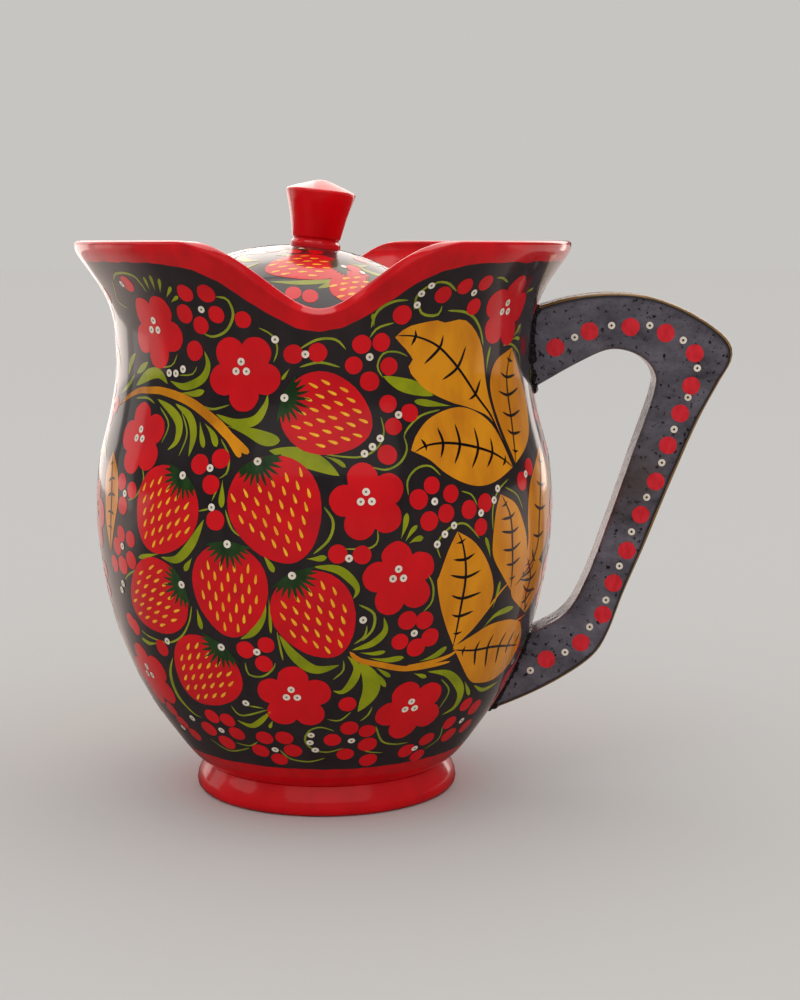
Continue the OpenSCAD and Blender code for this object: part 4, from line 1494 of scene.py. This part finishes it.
def black_lacquer():
    """Thick black lacquer with a painted grey sheen in streaks, pitted, with gold on the outer edge."""
    material, tree, look = shader("black_lacquer")
    # Painted sheen: grey streaks in the black stand for the reflection of the lights on the lacquer.
    painted_sheen = add(tree, "ShaderNodeMapRange", {0: noise(tree, 60, 6.0, (1, 1, 1.6), 0.7), 1: 0.32, 2: 0.7})
    body = blend_colours(tree, painted_sheen, paint(58, 54, 60), paint(112, 106, 116))
    pits = noise(tree, 520, 3.0, (1, 1, 1), 0.6)
    speck = add(tree, "ShaderNodeMapRange", {0: pits, 1: 0.60, 2: 0.66})
    body = blend_colours(tree, speck, body, paint(22, 20, 26))
    away = add(tree, "ShaderNodeAttribute", out=2, attribute_name="from_edge")
    wobble = calc(tree, "ADD", away, calc(tree, "MULTIPLY", noise(tree, 150, 2.0), 0.5))
    patch = add(tree, "ShaderNodeMapRange", {0: noise(tree, 26, 2.0), 1: 0.56, 2: 0.7, 3: 0, 4: 0.6})
    body = blend_colours(tree, patch, body, paint(74, 58, 52))
    inside = add(tree, "ShaderNodeMapRange", {0: wobble, 1: 1.5, 2: 2.6})
    body = blend_colours(tree, inside, paint(30, 27, 32), body)
    is_face = add(tree, "ShaderNodeMapRange", {0: wobble, 1: 1.15, 2: 1.35})
    gilt = blend_colours(tree, noise(tree, 200, 3.0), paint(150, 112, 58), paint(96, 70, 36))
    tree.links.new(blend_colours(tree, is_face, gilt, body), look.inputs["Base Color"])
    varnish(tree, look, 0.9, 0.12, 0.38)
    dents = add(tree, "ShaderNodeBump", {"Strength": 0.5, "Distance": 0.35 * MM, "Height": pits})
    rolling = add(tree, "ShaderNodeBump", {"Strength": 0.5, "Distance": 0.8 * MM,
                                           "Height": noise(tree, 170, 3.0), "Normal": dents})
    tree.links.new(rolling, look.inputs["Normal"])
    tree.links.new(rolling, look.inputs["Coat Normal"])
    look.inputs["Coat Roughness"].default_value = 0.16
    return material


handle_paint = black_lacquer()
handle = loft_handle()
handle.data.materials.append(handle_paint)
give(handle, "jug", "black_lacquer", "handle")

# %% Dots on the handle
# Places on the plank's face: distance from the turning axis and height, in mm.
RED_DOTS = [(79, 154), (90.5, 159.5), (104.5, 161), (116.5, 159), (126.5, 152), (125.5, 141),
            (122, 131.5), (118, 120.5), (114, 108), (109, 96.5), (104.5, 84), (100, 72.5), (96.5, 61.5),
            (89, 51.5), (77, 45.5)]
SMALL_DOTS = [(85.5, 157.5), (98, 161.5), (111, 161.5), (122.5, 156.5), (127.5, 147), (124.5, 137),
              (120, 126), (116, 114.5), (111, 102.5), (106, 90.5), (102, 78.5), (97.5, 66.5), (92, 57),
              (83.5, 48), (71.5, 41.5)]
RED_DOT_R, SMALL_DOT_R, SMALL_MIDDLE_R = 3.1, 1.25, 0.42
soft_red = lacquer("dot_red_paint", paint(222, 40, 52), paint(196, 20, 34), scale=500, gloss=0.6)
dabs("handle_dots", disc, [(x, z, 0, RED_DOT_R, RED_DOT_R) for x, z in RED_DOTS], LAYER["wing"],
     soft_red, "red_lacquer", "plank", 1, hand=0.5)
dabs("handle_white_dots", disc, [(x, z, 0, SMALL_DOT_R, SMALL_DOT_R) for x, z in SMALL_DOTS],
     LAYER["wing"], white_paint, "white_paint", "plank", 1, hand=0.2)
dabs("handle_dot_middles", dash, [(x, z, 0, SMALL_MIDDLE_R, SMALL_MIDDLE_R) for x, z in SMALL_DOTS],
     LAYER["middle_on_handle"], black_paint, "black_lacquer", "plank", 1, hand=0.0)
for name in ("handle_dots", "handle_white_dots", "handle_dot_middles"):
    piece = scene.objects[name]
    work = open_mesh(piece)
    twin = bmesh.ops.duplicate(work, geom=work.verts[:] + work.edges[:] + work.faces[:])["geom"]
    for vertex in (v for v in twin if isinstance(v, bmesh.types.BMVert)):
        vertex.co.y = -vertex.co.y
    bmesh.ops.reverse_faces(work, faces=[f for f in twin if isinstance(f, bmesh.types.BMFace)])
    write_back(work, piece)
    print(name, "now on both faces:", len(piece.data.polygons), "faces")

# %% [markdown]
# ## Beads at the joints
# Where the handle meets the jug the lacquer was laid on thick, and it dried as a row of glossy lumps.
# Small pebbles set along the joint line give that, each turned and sized by a seeded draw in the tree.

# %% Lumps along a line
SPIN = 6.28
# Lowest and highest point of the handle's joint with the wall, in mm.
UPPER_JOINT, LOWER_JOINT = (139.8, 167.2), (28.2, 54.2)


def bead_tree():
    """Sets flattened pebbles along a line."""
    tree, given = new_tree("beads", [("Pitch", "Float", 1.5 * MM), ("Smallest", "Float", 0.9 * MM),
                                     ("Largest", "Float", 1.7 * MM), ("Seed", "Int", 3),
                                     ("Material", "Material", None)])
    line = add(tree, "GeometryNodeMeshToCurve", {0: given["Geometry"]})
    spaced = add(tree, "GeometryNodeResampleCurve", {"Curve": line, "Length": given["Pitch"]},
                 mode="LENGTH")
    pebble = add(tree, "GeometryNodeMeshIcoSphere", {"Radius": 1.0, "Subdivisions": 3})
    size = add(tree, "FunctionNodeRandomValue",
               {2: given["Smallest"], 3: given["Largest"], "Seed": given["Seed"]}, out=1,
               data_type="FLOAT")
    turn_by = add(tree, "FunctionNodeRandomValue", {0: (0, 0, 0), 1: (SPIN, SPIN, SPIN), "Seed": 5},
                  data_type="FLOAT_VECTOR")
    flattened = joined(tree, size, calc(tree, "MULTIPLY", size, 0.8), calc(tree, "MULTIPLY", size, 1.3))
    lumps = add(tree, "GeometryNodeInstanceOnPoints",
                {"Points": spaced, "Instance": pebble, "Rotation": turn_by, "Scale": flattened})
    close(tree, lumps, given["Material"])
    return tree


def joint_line(low, high):
    """The line where the plank's four sides meet the vessel, between two heights in mm."""
    half, line = PLANK_FACE + 0.1, []
    for z in np.linspace(low, high, 12):
        line.append((math.sqrt(side_radius(z) ** 2 - half ** 2), -half, z))
    for y in np.linspace(-half, half, 8)[1:-1]:
        line.append((math.sqrt(side_radius(high) ** 2 - y ** 2), y, high))
    for z in np.linspace(high, low, 12):
        line.append((math.sqrt(side_radius(z) ** 2 - half ** 2), half, z))
    for y in np.linspace(half, -half, 8)[1:-1]:
        line.append((math.sqrt(side_radius(low) ** 2 - y ** 2), y, low))
    return [tuple(c * MM for c in p) for p in line]


lump_paint = lacquer("lump_lacquer", paint(16, 12, 14), paint(30, 24, 28), scale=600, rough=0.25)
loops = [joint_line(*UPPER_JOINT), joint_line(*LOWER_JOINT)]
joint_points = loops[0] + loops[1]
joint_edges = [(start + k, start + (k + 1) % len(loop)) for start, loop in
               ((0, loops[0]), (len(loops[0]), loops[1])) for k in range(len(loop))]
beads = run(bead_tree(), plain_mesh("joint_lines", joint_points, [], joint_edges), "joint_beads",
            Material=lump_paint)
give(beads, "jug", "black_lacquer")

# %% [markdown]
# ## Put the helpers away
# The loose points and templates did their work inside the trees and aren't part of the jug.

# %% Remove the helpers
for helper in [o for o in scene.objects if o.name in HELPERS]:
    bpy.data.objects.remove(helper)
